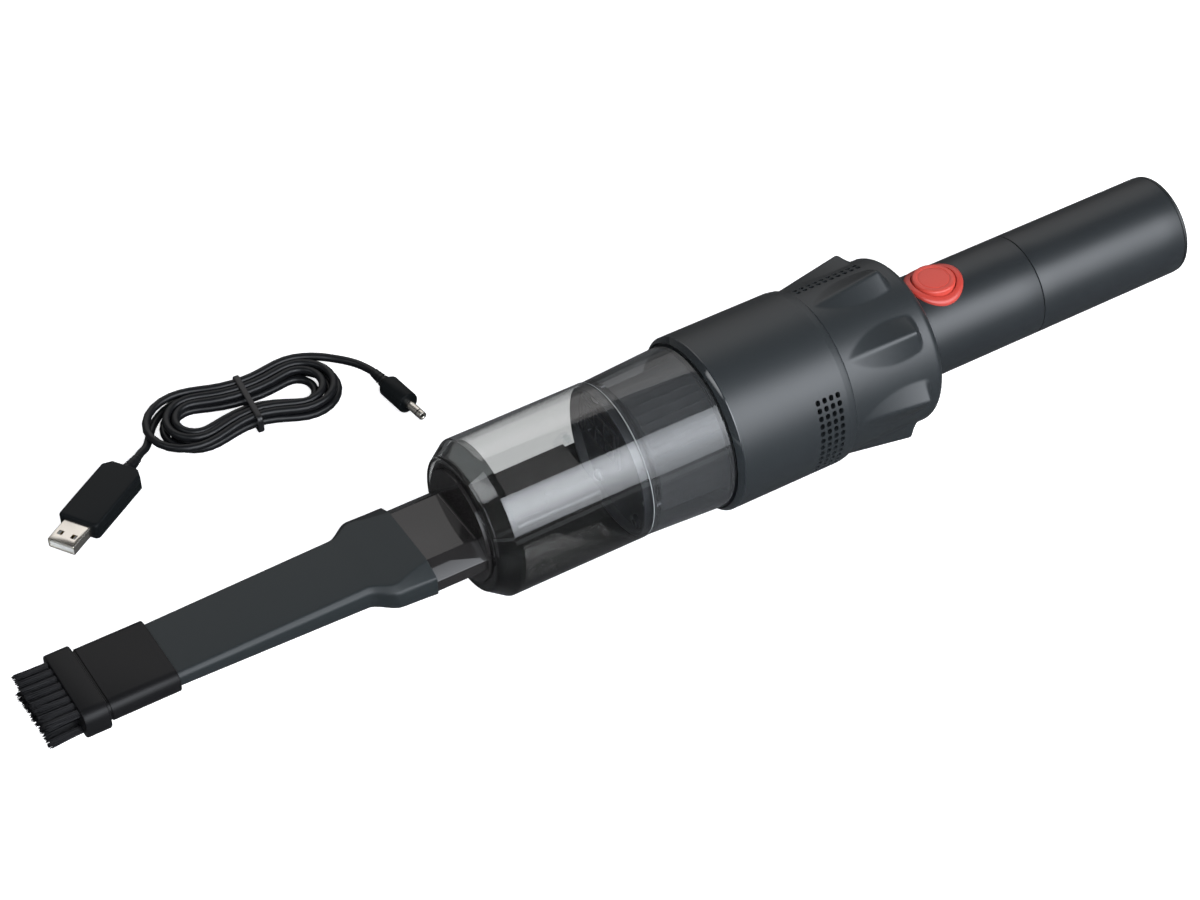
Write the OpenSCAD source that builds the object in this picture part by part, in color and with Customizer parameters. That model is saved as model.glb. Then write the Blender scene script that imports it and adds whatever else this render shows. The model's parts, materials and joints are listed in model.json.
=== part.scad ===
// Handheld vacuum cleaner, lying level with its switch on top, and its charging lead beside it.
// x runs along the body towards the end of the handle, z is up and the ground is z = 0.
// The origin is under the middle of the vacuum cleaner. All sizes are millimetres.

/* [Handle] */
// Radius of one round battery cell
cell_r = 9.2; // [7:0.1:10.5]
// Length of one battery cell
cell_len = 65; // [50:1:70]
// Room for the two cells across the handle
cell_play = 0.4; // [0.3:0.1:1]
// Wall of the handle tubes
tube_wall = 1.7; // [1.5:0.1:2.4]
// Length of the rear handle tube with its end cap
battery_tube_len = 70.7; // [66:0.5:80]
// Length of the front handle tube that shows
grip_tube_len = 55.3; // [50:0.5:75]
// Rim of the end cap that shows
cap_rim = 1.5; // [1:0.1:3]
// Depth of the charging socket's body
jack_len = 10.7; // [9:0.1:12]
// Radius of the charging socket's hole
jack_hole_r = 1.8; // [1.5:0.05:2.5]

/* [Switch] */
// Distance from the motor housing to the middle of the button
button_back = 15.5; // [14:0.5:22]
// Radius of the button
button_r = 8.5; // [7:0.5:9]
// Width of the red ring round the button
bezel_rim = 3; // [2:0.5:4]
// How far the ring stands off the handle
bezel_rise = 1.1; // [0.6:0.1:1.6]
// Height of the button's top over the handle
button_rise = 2.5; // [2.2:0.1:3.5]
// How far the button goes down
button_travel = 1.5; // [0.8:0.1:1.6]

/* [Motor housing] */
// Length of the fluted rear shell
rear_shell_len = 42.6; // [40:0.5:55]
// Length of the smooth front housing
front_housing_len = 57.4; // [55:0.5:70]
// Wall of both housings
shell_wall = 2.2; // [1.8:0.1:3]
// Step from the front housing down to the rear shell
shell_step = 1.5; // [0.8:0.1:2]
// Height of a grip lug over the rear shell
lug_rise = 4.3; // [3:0.1:6]
// Number of grip lugs
lug_count = 8; // [6:1:9]
// Half width of a grip lug
lug_half_w = 8.2; // [6:0.1:8.6]
// Number of vent holes along the housing
vent_cols = 4; // [2:1:5]
// Number of vent holes round the housing
vent_rows = 13; // [5:1:15]
// Radius of the motor
motor_r = 13.8; // [12:0.1:16]
// Length of the motor's steel can
motor_len = 38; // [30:1:40]
// Radius of the fan
fan_r = 24.5; // [20:0.5:25]
// Number of fan blades
fan_blades = 9; // [6:1:11]

/* [Dust cup] */
// Outer radius of the clear dust cup
cup_r = 31; // [29:0.5:34]
// Wall of the clear parts
cup_wall = 1.8; // [1.5:0.1:2.2]
// Length of the dust cup
cup_len = 63.2; // [55:0.5:80]
// Length of the filter chamber that shows
chamber_show = 29.9; // [26:0.5:45]
// Length of the sloping front of the cup
chamfer_len = 7; // [4:0.5:9]
// Radius where the slope meets the flat front
front_r = 26.2; // [25:0.2:27]
// Step from the cup down to the filter chamber
cup_step = 0.8; // [0.5:0.1:1]
// Radius of the raised disc that carries the neck
neck_disc_r = 22; // [21.5:0.1:23]
// How far that disc stands off the cup's front
neck_disc_rise = 1.2; // [0.8:0.1:2]
// Length of the neck that shows
neck_len = 20.5; // [16:0.5:30]
// Number of folds in the filter
pleats = 36; // [20:1:48]

/* [Nozzle and brush] */
// Width of the neck and of the nozzle's socket
nozzle_w = 43; // [38:0.5:43]
// Thickness of the nozzle's socket
nozzle_t = 12; // [11:0.5:14]
// Length of the nozzle's wide socket
nozzle_socket_len = 14.2; // [13:0.2:25]
// Length of the shoulder behind the blade
nozzle_shoulder_len = 10.7; // [8:0.1:14]
// Length of the blade that shows
nozzle_blade_len = 73.4; // [50:0.2:110]
// Width of the blade at its root
blade_root_w = 31.5; // [30:0.5:36]
// Width of the blade at its tip
blade_tip_w = 30; // [28:0.5:30]
// Thickness of the socket at its front
nozzle_front_t = 10.4; // [10:0.1:12]
// Thickness of the blade at its root
blade_root_t = 9.6; // [6.8:0.1:10]
// Thickness of the blade at its tip
blade_tip_t = 6.5; // [6.5:0.1:7]
// Wall of the nozzle's blade
blade_wall = 1.1; // [0.9:0.05:1.15]
// Length of the brush's sleeve
sleeve_len = 27; // [20:0.5:35]
// Length of the brush's flange
flange_len = 9.4; // [7:0.2:14]
// Length of the bristles that shows
bristle_len = 13.6; // [8:0.2:20]
// Number of bristle tufts in a row
tufts = 8; // [6:1:10]

/* [Charging lead] */
// Diameter of the lead
lead_d = 3.3; // [2.8:0.1:3.4]
// Width of the converter case
case_w = 18.7; // [16:0.5:22]
// Length of the converter case
case_len = 34; // [28:0.5:42]
// Thickness of the converter case
case_t = 8; // [7:0.5:10]
// Radius of the round plug's body
plug_r = 4.5; // [3.6:0.1:6]
// Length of the round plug's body
plug_len = 15.5; // [12:0.5:20]
// Length of the round plug's metal barrel
barrel_len = 9.8; // [8:0.2:10]

/* [Hidden] */
$fn = 64;
// A cut runs past the face that it opens by this much
past = 1;
// Clearance between pieces that are put together once
fit = 0.15;
// Clearance between pieces that slide apart in use
slide_fit = 0.3;
// Clearance on the radius of a pin or shaft that turns or slides in its hole
run_fit = 0.05;
// Gap that shows where two shells meet
seam_gap = 0.4;
// Turn from one screw to the next where three stand in a ring
third = 120;

// Handle
tube_r = 2 * cell_r + cell_play + tube_wall;
tube_in_r = tube_r - tube_wall;
lap_len = 5;
end_edge_r = 1;
cap_plug_len = 4;
end_wall = 4;
handle_flange_len = 2.5;
handle_flange_rim = 5.5;

// Motor housing
chamber_r = cup_r - cup_step;
socket_r = chamber_r + slide_fit;
mouth_r = socket_r + 1.1;
socket_wall = 4.5;
housing_r = socket_r + socket_wall;
shell_r = housing_r - shell_step;
axis_h = shell_r + lug_rise;
mouth_depth = 6;
mouth_lip = 0.8;
mouth_slope = 7.5;
socket_depth = 15;
ledge_t = 2.2;
ledge_r = socket_r - 4.5;
rear_slope = 3.4;
rear_slope_drop = 0.5;
rear_edge_x = 5;
rear_edge_r = 9.2;
spigot_len = 5;
spigot_wall = 1.4;
housing_in_r = housing_r - shell_wall;
side_vents_back = 15.9;
side_vent_pitch = 2.95;
side_vent_first = 61.2;
side_vent_turn = 5.35;
side_vent_w = 1.9;
side_vent_h = 2.3;
top_vents_from = 3.4;
top_vent_pitch = 3.03;
top_vent_cols = 10;
top_vent_rows = [-20.5, -25];
top_vent_w = 1.6;
top_vent_h = 1.7;

// Places along x, from the end of the handle to the tips of the bristles
collar_len = sleeve_len + flange_len;
front_len = chamber_show + cup_len + neck_disc_rise;
nozzle_show = nozzle_socket_len + nozzle_shoulder_len + nozzle_blade_len;
total_len = battery_tube_len + grip_tube_len + rear_shell_len + front_housing_len
    + front_len + neck_len + nozzle_show + collar_len + bristle_len;
x_end = total_len / 2;
x_tube = x_end - battery_tube_len;
x_shell = x_tube - grip_tube_len;
x_seam = x_shell - rear_shell_len;
x_mouth = x_seam - front_housing_len;
x_join = x_mouth - chamber_show;
x_cup = x_join - cup_len;
x_disc = x_cup - neck_disc_rise;
x_neck = x_disc - neck_len;
x_collar = x_neck - nozzle_show;
x_flange = x_collar - sleeve_len;
x_root = x_flange - flange_len;

// Switch
x_button = x_shell + button_back;
bezel_r = button_r + bezel_rim;
sleeve_r = button_r + bezel_rim / 2;
bezel_floor = 9.5;
bezel_floor_t = 1.2;
button_top = tube_r + button_rise;
button_under = 17.5;
button_edge_r = 0.9;
stem_r = 3;
stem_head_r = 3.9;
stem_head_z = 8;
stem_head_t = 1.2;
plunger_r = 1.5;
plunger_in = 1.9;
spring_r = 4.6;
spring_wire_r = 0.35;
spring_turns = 5;
board_t = 1.6;
board_w = 30;
board_ahead = 10;
board_gap = 4;
switch_w = 8;
switch_h = 4.6;
rail_w = 3;
rail_t = 2;
part_gap = 3;
part_y = 9;
capacitor_len = 10;
capacitor_r = 3.2;
chip_back = 14;
chip_len = 6;
chip_w = 7;
chip_t = 2;
plug_back = 6;
plug_w = 5;
plug_h = 7.6;

// Cells and charging parts
charge_board_t = 1.2;
charge_board_w = 14;
charge_board_h = 18;
cradle_end_t = 1;
cradle_wall = 1.4;
link_w = 8;
x_jack = x_end - cap_rim;
x_charge_board = x_jack - jack_len;
x_cells = x_charge_board - charge_board_t - cradle_end_t - fit;
x_cells_front = x_cells - cell_len;
cell_y = cell_r + cell_play / 4;
link_t = 0.4;
jack_w = 9;
wire_r = 0.8;
charge_wire_r = 0.6;
charge_wire_z = 6.2;
x_board = x_cells_front - cradle_end_t - board_gap;
board_len = x_board - x_button + board_ahead;
lamp_r = 1.5;
lamp_z = 8;
pin_r = 0.6;

// Motor and fan, measured from the mouth of the housing
cover_in = socket_depth + ledge_t + fit;
cover_len = 16;
cover_r = housing_in_r - fit;
cover_wall = 1.4;
eye_r = 11;
post_r = 2.6;
post_at = cover_r - cover_wall - post_r + 0.4;
post_bore_r = 1.3;
post_screw_r = 1.2;
plate_in = cover_in + cover_len;
plate_t = 2.5;
plate_hole_r = 3.2;
motor_in = plate_in + plate_t;
motor_boss_r = 3;
can_wall = 1;
can_face = 1.5;
end_cap_t = 4;
end_cap_in = motor_in + motor_len;
shaft_r = 1.15;
bearing_r = shaft_r + run_fit;
shaft_in = cover_in + 4.7;
fan_in = cover_in + 3.2;
fan_depth = 9.6;
fan_plate_t = 1.5;
fan_hub_r = 4;
fan_gap = 0.8;
blade_t = 1.1;
blade_root = 3.4;
blade_sweep = 42;
blade_steps = 8;
motor_screw_at = 8;
motor_screw_r = 1;
screw_head = 1.4;
terminal_y = 8;
terminal_h = 4.2;
seal_t = 2;

// Dust cup, chamber and filter
cup_in_r = cup_r - cup_wall;
chamber_in_r = chamber_r - cup_wall;
x_chamber_back = x_mouth + socket_depth - seal_t - 0.1;
chamber_spigot_len = 4;
chamber_spigot_r = cup_in_r - slide_fit;
partition_t = 2;
partition_seat_r = chamber_spigot_r - spigot_wall;
partition_r = partition_seat_r - fit;
chamber_ledge_t = 1.6;
window_w = 22;
window_h = 15;
window_y = 9;
window_z = 6;
window_rim = 2;
window_rise = 1.2;
screw_at = partition_seat_r - 3;
screw_boss_r = 2.6;
screw_boss_h = 1.6;
screw_turn = -25;
screw_r = 1.1;
frame_in = 0.5;
frame_cap_t = 2;
frame_r = chamber_in_r - slide_fit;
frame_rim_t = 3;
frame_bore_r = 13;
cage_bars = 8;
cage_window = 11;
pleat_out = 25.4;
pleat_in = 20;
neck_seat_t = 1.5;
neck_seat_r = 24;
neck_step = 0.6;
neck_w = nozzle_w - 2 * neck_step;
neck_t = nozzle_t - 2 * neck_step;
neck_bevel_w = 7;
neck_bevel_h = 4.6;
duct_w = 27.6;
duct_t = 4.6;
duct_r = 1.6;
duct_in_len = 46;
duct_wall = 1.2;
socket_skin = 1.5;
spigot_in_len = 12;
spigot_end_gap = 0.6;
flap_t = 1;
flap_pin_r = 0.8;
flap_hub_r = 1.7;
ear_t = 1.6;
ear_gap = 0.25;

// Nozzle and brush
blade_in_len = sleeve_len - 2;
blade_pocket_len = sleeve_len - 1.8;
shoulder_steps = 3;
blade_r = 3.1;
blade_fit = 0.2;
sleeve_w = 34;
sleeve_t = 9.7;
sleeve_corner = 4.4;
groove_len = 1.8;
groove_depth = 0.8;
flange_w = 37;
flange_t = 12.6;
flange_corner = 5;
passage_w = 23;
passage_t = 4.4;
row_z = 3.95;
row_half_t = 1.2;
row_depth = 2;
strand_cells = 5;
strand_rows = 4;
cell_pitch = 0.62;
strand_tip = 0.17;
fan_out = 0.16;
bristle_spread = 1.5;
bristle_vary = 2.2;

// Charging lead. The hank's loops have two round lobes and a drawn-in waist.
hank_pos = [-97.5, 136];
hank_turn = -6;
lobe_at = 21.8;
lobe_r = 17.6;
waist = 12.1;
loop_gap = 0.45;
layer_gap = 0.5;
loop_step = lead_d + loop_gap;
layer_rise = lead_d + layer_gap;
tie_lift = 1;
tie_lift_reach = 9;
loop_turns = 5;
rings_per_loop = 24;
leave_left = 150;
leave_right = 50;
climb_turns = 0.5;
lead_side = 8;
loop_sides = 6;
loop_side_turn = 30;
tie_t = 0.8;
tie_w = 3.2;
// Points of the lead's free runs, x, y and z
usb_points = [[-145.6, 133.4, 4], [-141.5, 136.6, 3.2]];
dc_points = [[-55.5, 140.6, 4.4], [-50.3, 134.5, 4.2], [-47.6, 128.5, 4.3]];
usb_relief_from = [-148, 131.4, 4];
usb_turn = 213;
usb_relief_len = 8;
usb_relief_r = 3.2;
case_corner = 3;
shell_w = 12;
shell_t = 4.5;
shell_len = 11.5;
shell_skin = 0.4;
tongue_t = 1.9;
plug_relief_from = [-46.9, 125.4, 4.5];
plug_turn = -83;
plug_relief_len = 8.5;
plug_relief_r = 3.1;
plug_neck_r = 2.4;
barrel_r = jack_hole_r - run_fit;
barrel_bore_r = 0.75;
relief_ribs = 5;

// Shared shapes

// A shape that stands on the axis of the body at x, its own z along the body
module on_axis(x) {
    translate([x, 0, axis_h])
        rotate([0, 90, 0])
            children();
}

// A profile of radius and length, turned round the axis of the body from x
module turned(x) {
    on_axis(x)
        rotate_extrude()
            children();
}

module ring(x, length, outer_r, inner_r) {
    turned(x)
        translate([inner_r, 0])
            square([outer_r - inner_r, length]);
}

module disc(x, length, r) {
    on_axis(x)
        cylinder(h = length, r = r);
}

// A section of width and height, run along the body from x
module bar(x, length) {
    translate([x, 0, axis_h])
        rotate([90, 0, 90])
            linear_extrude(length)
                children();
}

// A shape whose z points outwards at an angle round the body, from the top towards -y
module at_angle(x, angle) {
    translate([x, 0, axis_h])
        rotate([angle, 0, 0])
            children();
}

module box_at(x, length, y, width, z, height) {
    translate([x, y - width / 2, axis_h + z])
        cube([length, width, height]);
}

// A bar of any round section along the body, at y and z from the axis
module wire(x, length, y, z, r) {
    translate([x, y, axis_h + z])
        rotate([0, 90, 0])
            cylinder(h = length, r = r, $fn = 24);
}

module round_rect(width, height, r) {
    square([width - 2 * r, height], center = true);
    square([width, height - 2 * r], center = true);
    for (side = [-1, 1], level = [-1, 1])
        translate([side * (width / 2 - r), level * (height / 2 - r)])
            circle(r = r, $fn = 32);
}

// A thin slice of a rounded section, for a blend between two sections
module slice(x, width, height, r) {
    bar(x, 0.02)
        round_rect(width, height, r);
}

// An outline with its corners cut, for a vent hole
module vent_outline(width, height) {
    cut = 0.3 * min(width, height);
    a = width / 2;
    b = height / 2;
    polygon([
        [a - cut, -b], [a, cut - b], [a, b - cut], [a - cut, b],
        [cut - a, b], [-a, b - cut], [-a, cut - b], [cut - a, -b]
    ]);
}

function unit(v) = v / norm(v);
function ring_at(p, along, r, sides, turn = 0) =
    let(side = unit(cross(along, [0, 0, 1])), up = cross(side, along))
    [for (i = [0 : sides - 1])
        let(a = 360 * i / sides + turn)
        p + r * (cos(a) * side + sin(a) * up)];
function heading(path, i) =
    unit(path[min(i + 1, len(path) - 1)] - path[max(i - 1, 0)]);

// A closed tube of given sides swept along a path, its ends square to the path
module sweep(path, r, sides, turn = 0, first = undef, last = undef) {
    count = len(path);
    rings = [for (i = [0 : count - 1])
        ring_at(path[i], i == 0 && first != undef ? first
            : i == count - 1 && last != undef ? last : heading(path, i), r, sides, turn)];
    points = [for (one = rings) each one];
    walls = [for (i = [0 : count - 2], k = [0 : sides - 1])
        let(a = i * sides + k, b = i * sides + (k + 1) % sides)
        each [[a, b, a + sides], [b, b + sides, a + sides]]];
    front = [for (k = [1 : sides - 2]) [0, k + 1, k]];
    back = [for (k = [1 : sides - 2])
        [(count - 1) * sides, (count - 1) * sides + k, (count - 1) * sides + k + 1]];
    polyhedron(points = points, faces = concat(walls, front, back));
}

// Handle

module battery_tube() {
    color("#303436")
    difference() {
        ring(x_tube, battery_tube_len - cap_rim, tube_r, tube_in_r);
        ring(x_tube - past, lap_len + past, tube_r - tube_wall / 2, tube_in_r - past);
    }
}

module end_cap() {
    plug_r_out = tube_in_r - fit;
    color("#26292b")
    difference() {
        union() {
            disc(x_jack, cap_rim - end_edge_r, tube_r);
            turned(x_end - end_edge_r) {
                square([tube_r - end_edge_r, end_edge_r]);
                translate([tube_r - end_edge_r, 0])
                    intersection() {
                        circle(r = end_edge_r, $fn = 32);
                        square(end_edge_r);
                    }
            }
            ring(x_jack - cap_plug_len, cap_plug_len, plug_r_out, plug_r_out - tube_wall);
        }
        disc(x_jack - past, cap_rim + 2 * past, jack_hole_r + 2.2 + fit);
        wire(x_jack - past, cap_rim + 2 * past, 0, lamp_z, lamp_r + fit);
    }
}

module grip_tube() {
    back = x_tube - seam_gap;
    front = x_shell - end_wall - handle_flange_len;
    color("#34383a")
    difference() {
        union() {
            ring(front, back - front, tube_r, tube_in_r);
            ring(back, lap_len, tube_r - tube_wall / 2 - fit, tube_in_r);
            ring(front, handle_flange_len, tube_r + handle_flange_rim, tube_in_r);
            intersection() {
                disc(x_board - board_len, board_len, tube_in_r + tube_wall / 2);
                for (side = [-1, 1])
                    box_at(x_board - board_len, board_len,
                        side * (board_w / 2 + rail_w / 2), 2 * rail_w, -rail_t, rail_t);
            }
        }
        translate([x_button, 0, axis_h])
            cylinder(h = tube_r + past, r = sleeve_r + fit);
        handle_screw_holes(front - past, handle_flange_len + 2 * past, motor_screw_r + fit);
    }
}

module handle_screw_holes(x, length, r) {
    for (i = [0 : 2])
        at_angle(x, third / 2 + third * i)
            translate([0, 0, tube_r + 3])
                rotate([0, 90, 0])
                    cylinder(h = length, r = r, $fn = 24);
}

// Screws that hold the handle's flange to the rear shell
module handle_screws() {
    front = x_shell - end_wall - handle_flange_len;
    color("silver") {
        handle_screw_holes(front - screw_head, screw_head, 2 * motor_screw_r);
        handle_screw_holes(front - screw_head / 2, screw_head / 2 + handle_flange_len + end_wall - 1,
            motor_screw_r);
    }
}

// Switch

module button_bezel() {
    color("#a33a34")
    difference() {
        intersection() {
            translate([x_button, 0, axis_h + bezel_floor])
                cylinder(h = tube_r, r = bezel_r);
            disc(x_button - 2 * bezel_r, 4 * bezel_r, tube_r + bezel_rise);
        }
        difference() {
            disc(x_button - 2 * bezel_r, 4 * bezel_r, tube_r);
            translate([x_button, 0, axis_h])
                cylinder(h = tube_r + past, r = sleeve_r);
        }
        translate([x_button, 0, axis_h + bezel_floor + bezel_floor_t])
            cylinder(h = tube_r, r = button_r + 0.2);
        translate([x_button, 0, axis_h])
            cylinder(h = tube_r, r = stem_r + 0.2);
    }
}

// The cap has a stem with a snap head that stops it under the ring's floor
module button_cap() {
    color("#c9483f")
    translate([x_button, 0, axis_h]) {
        translate([0, 0, button_under])
            cylinder(h = button_top - button_edge_r - button_under, r = button_r);
        translate([0, 0, button_top - button_edge_r])
            rotate_extrude() {
                square([button_r - button_edge_r, button_edge_r]);
                translate([button_r - button_edge_r, 0])
                    intersection() {
                        circle(r = button_edge_r, $fn = 32);
                        square(button_edge_r);
                    }
            }
        translate([0, 0, stem_head_z])
            cylinder(h = button_under - stem_head_z, r = stem_r);
        translate([0, 0, stem_head_z])
            cylinder(h = stem_head_t, r = stem_head_r);
    }
}

// Spring between the ring's floor and the cap
module button_spring() {
    low = bezel_floor + bezel_floor_t + spring_wire_r + fit;
    high = button_under - spring_wire_r - fit;
    steps = 12 * spring_turns;
    path = [for (i = [0 : steps])
        let(a = 360 * spring_turns * i / steps)
        [x_button + spring_r * cos(a), spring_r * sin(a),
            axis_h + low + (high - low) * i / steps]];
    color("silver")
        sweep(path, spring_wire_r, 6);
}

module power_switch() {
    color("#202020")
    difference() {
        box_at(x_button - switch_w / 2, switch_w, 0, switch_w, board_t, switch_h);
        translate([x_button, 0, axis_h + plunger_in])
            cylinder(h = tube_r, r = plunger_r + run_fit);
    }
}

module switch_plunger() {
    low = plunger_in + button_travel + 0.3;
    color("white")
    translate([x_button, 0, axis_h + low])
        cylinder(h = stem_head_z - low, r = plunger_r);
}

module control_board() {
    color("#2f6b3c")
        box_at(x_board - board_len, board_len, 0, board_w, 0, board_t);
}

// Capacitor, power chip and wire connector on the board
module board_parts() {
    color("#55504a") {
        wire(x_board - board_len + part_gap, capacitor_len, -part_y, board_t + capacitor_r,
            capacitor_r);
        box_at(x_board - chip_back, chip_len, part_y, chip_w, board_t, chip_t);
        box_at(x_board - plug_back, plug_w, 0, plug_w, board_t, plug_h);
    }
}

// Cells and charging parts

module battery_cells() {
    color("#3f7fb0")
    for (side = [-1, 1])
        wire_cell(side * cell_y);
}

module wire_cell(y) {
    translate([x_cells_front, y, axis_h])
        rotate([0, 90, 0])
            cylinder(h = cell_len, r = cell_r);
}

// Two troughs on ribs, with an end wall at each end of the cells
module cell_cradle() {
    front = x_cells_front - cradle_end_t;
    length = cell_len + 2 * cradle_end_t;
    shell = tube_in_r - fit;
    trough_r = cell_r + cradle_wall;
    color("#d8d8d2")
    difference() {
        intersection() {
            disc(front, length, shell);
            union() {
                intersection() {
                    box_at(front, length, 0, 2 * shell, -shell, shell - 3);
                    union() {
                        wire(front, length, -cell_y, 0, trough_r);
                        wire(front, length, cell_y, 0, trough_r);
                        for (side = [-1, 0, 1])
                            box_at(front, length, side * cell_y, cradle_wall, -shell, shell - 3);
                    }
                }
                box_at(front, cradle_end_t, 0, 2 * shell - 6, -shell, shell + 3);
                box_at(x_cells, cradle_end_t, 0, 2 * shell - 6, -shell, shell + 3);
            }
        }
        for (side = [-1, 1]) {
            translate([x_cells_front, side * cell_y, axis_h])
                rotate([0, 90, 0])
                    cylinder(h = cell_len, r = cell_r + fit / 2);
            box_at(front - past, length + 2 * past, side * cell_y, link_w, -2, 7);
        }
    }
}

// Nickel strips on the ends of the cells
module cell_links() {
    color("silver") {
        for (side = [-1, 1])
            box_at(x_cells_front - link_t, link_t, side * cell_y, link_w - 1, -1, 5);
        box_at(x_cells, link_t, 0, 2 * cell_y + link_w - 1, 3.2, 1.7);
    }
}

module charge_board() {
    color("#2f6b3c")
        box_at(x_charge_board - charge_board_t, charge_board_t,
            0, charge_board_w, -charge_board_h / 2 + 2, charge_board_h);
}

module charging_jack() {
    nose_r = jack_hole_r + 2.2;
    color("#151515")
    difference() {
        union() {
            box_at(x_charge_board, jack_len, 0, jack_w, -jack_w / 2, jack_w);
            disc(x_jack, cap_rim - 0.3, nose_r);
        }
        disc(x_jack - jack_len + 1.2, jack_len + cap_rim, jack_hole_r);
    }
    color("gold")
        disc(x_jack - jack_len + 1.2, jack_len - 2, pin_r);
}

module charge_lamp() {
    color("#dff0d8")
        wire(x_charge_board, jack_len + cap_rim - 0.3, 0, lamp_z, lamp_r);
}

module motor_leads() {
    back = x_board - board_len;
    front = x_mouth + end_cap_in + end_cap_t + terminal_h;
    color("#b02020")
    for (side = [-1, 1])
        wire(front, back - front + 3, side * terminal_y, board_t + wire_r, wire_r);
}

module battery_leads() {
    color("#b02020")
    for (side = [-1, 1])
        wire(x_board - 2, x_cells_front - link_t - x_board + 2,
            side * cell_y, board_t + wire_r, wire_r);
}

module charge_leads() {
    front = x_board - 1;
    color("#202020")
    for (level = [0, 1])
        wire(front, x_charge_board - charge_board_t - front,
            0, charge_wire_z + 1.5 * level, charge_wire_r);
}

// Motor housing

module front_housing() {
    length = front_housing_len;
    color("#3a3f42")
    difference() {
        turned(x_mouth)
            polygon([
                [mouth_r, 0], [mouth_r + mouth_lip, 0],
                [housing_r, mouth_slope], [housing_r, length - rear_slope],
                [housing_r - rear_slope_drop, length - seam_gap],
                [housing_in_r, length - seam_gap], [housing_in_r, socket_depth + ledge_t],
                [ledge_r, socket_depth + ledge_t], [ledge_r, socket_depth],
                [socket_r, socket_depth], [socket_r, mouth_depth], [mouth_r, mouth_depth - 1]
            ]);
        for (side = [-1, 1])
            side_vents(side);
        post_holes(socket_depth + 0.6, ledge_t + past, post_screw_r + run_fit);
    }
}

// Grid of holes at one side of the front housing
module side_vents(side) {
    for (i = [0 : vent_cols - 1], k = [0 : vent_rows - 1])
        at_angle(x_seam - side_vents_back + side_vent_pitch * i,
            side * (side_vent_first + side_vent_turn * k))
            translate([0, 0, housing_in_r - past])
                linear_extrude(shell_wall + 2 * past)
                    vent_outline(side_vent_w, side_vent_h);
}

// Screw places round the fan cover
module post_holes(start, length, r) {
    for (i = [0 : 2])
        at_angle(x_mouth + start, third * i)
            translate([0, 0, post_at])
                rotate([0, 90, 0])
                    cylinder(h = length, r = r, $fn = 32);
}

function shell_edge(steps, outer, depth, reach) =
    [for (i = [0 : steps])
        let(a = 90 * i / steps)
        [outer - depth + depth * cos(a), rear_shell_len - reach + reach * sin(a)]];

module rear_shell() {
    inner_r = shell_r - shell_wall;
    hole_r = tube_r + fit;
    inner_edge = inner_r - tube_r - handle_flange_rim - 0.5;
    color("#3a3f42")
    difference() {
        union() {
            turned(x_seam)
                polygon(concat(
                    [[hole_r, 0], [shell_r, 0]],
                    shell_edge(8, shell_r, rear_edge_r, rear_edge_x),
                    [[hole_r, rear_shell_len]]
                ));
            ring(x_seam - spigot_len, spigot_len + past, housing_in_r - fit, inner_r);
            for (i = [0 : lug_count - 1])
                at_angle(x_seam, 360 * i / lug_count)
                    grip_lug();
        }
        turned(x_seam)
            polygon([
                [0, -spigot_len - past], [inner_r, -spigot_len - past],
                [inner_r, rear_shell_len - rear_edge_x - 1],
                [inner_r - inner_edge, rear_shell_len - end_wall],
                [0, rear_shell_len - end_wall]
            ]);
        top_vents();
        handle_screw_holes(x_shell - end_wall - past, end_wall + past - 1 + 0.2,
            motor_screw_r + run_fit);
    }
}

// Two rows of small holes in the valley beside the top lug
module top_vents() {
    for (i = [0 : top_vent_cols - 1], angle = top_vent_rows)
        at_angle(x_seam + top_vents_from + top_vent_pitch * i, angle)
            translate([0, 0, shell_r - shell_wall - past])
                linear_extrude(shell_wall + 2 * past)
                    vent_outline(top_vent_w, top_vent_h);
}

// Lug with two flanks that meet at a crest, its height rising to the rear
module grip_lug() {
    start = 2.4;
    length = 28.2;
    tail = 5.2;
    crest_half = 0.9;
    steps = 8;
    foot = 0.9;
    sections = concat(
        [for (i = [0 : steps])
            let(s = i / steps, w = max(0.7, lug_half_w * sin(115 * pow(s, 0.8))))
            [start + length * s, w, shell_r + lug_rise * s, crest_half * min(1, 3 * s + 0.3)]],
        [[start + length + 0.45 * tail, 0.85 * lug_half_w, shell_r + 0.82 * lug_rise, crest_half],
            [start + length + 0.8 * tail, 0.78 * lug_half_w, shell_r + 0.42 * lug_rise, crest_half],
            [start + length + tail, 0.72 * lug_half_w, shell_r - 0.2, crest_half]]
    );
    count = len(sections);
    points = [for (one = sections)
        let(w = one[1], z = sqrt(shell_r * shell_r - w * w))
        each [
            [one[0], -w, z - foot], [one[0], -w, z - 0.1], [one[0], -one[3], one[2]],
            [one[0], one[3], one[2]], [one[0], w, z - 0.1], [one[0], w, z - foot]
        ]];
    walls = [for (i = [0 : count - 2], k = [0 : 5])
        let(a = 6 * i + k, b = 6 * i + (k + 1) % 6)
        each [[a, b, a + 6], [b, b + 6, a + 6]]];
    ends = [for (k = [1 : 4]) each [[0, k + 1, k],
        [6 * (count - 1), 6 * (count - 1) + k, 6 * (count - 1) + k + 1]]];
    polyhedron(points = points, faces = concat(walls, ends));
}

// Motor and fan

module fan_cover() {
    color("#1f2224")
    difference() {
        union() {
            ring(x_mouth + cover_in, cover_wall, cover_r, eye_r);
            ring(x_mouth + cover_in, cover_len, cover_r, cover_r - cover_wall);
            post_holes(cover_in, cover_len, post_r);
            for (i = [0 : 3])
                at_angle(x_mouth + cover_in, 45 * i)
                    translate([0, -0.6, -eye_r - 0.5])
                        cube([cover_wall, 1.2, 2 * eye_r + 1]);
        }
        post_holes(cover_in - past, cover_len + 2 * past, post_bore_r);
    }
}

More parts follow.
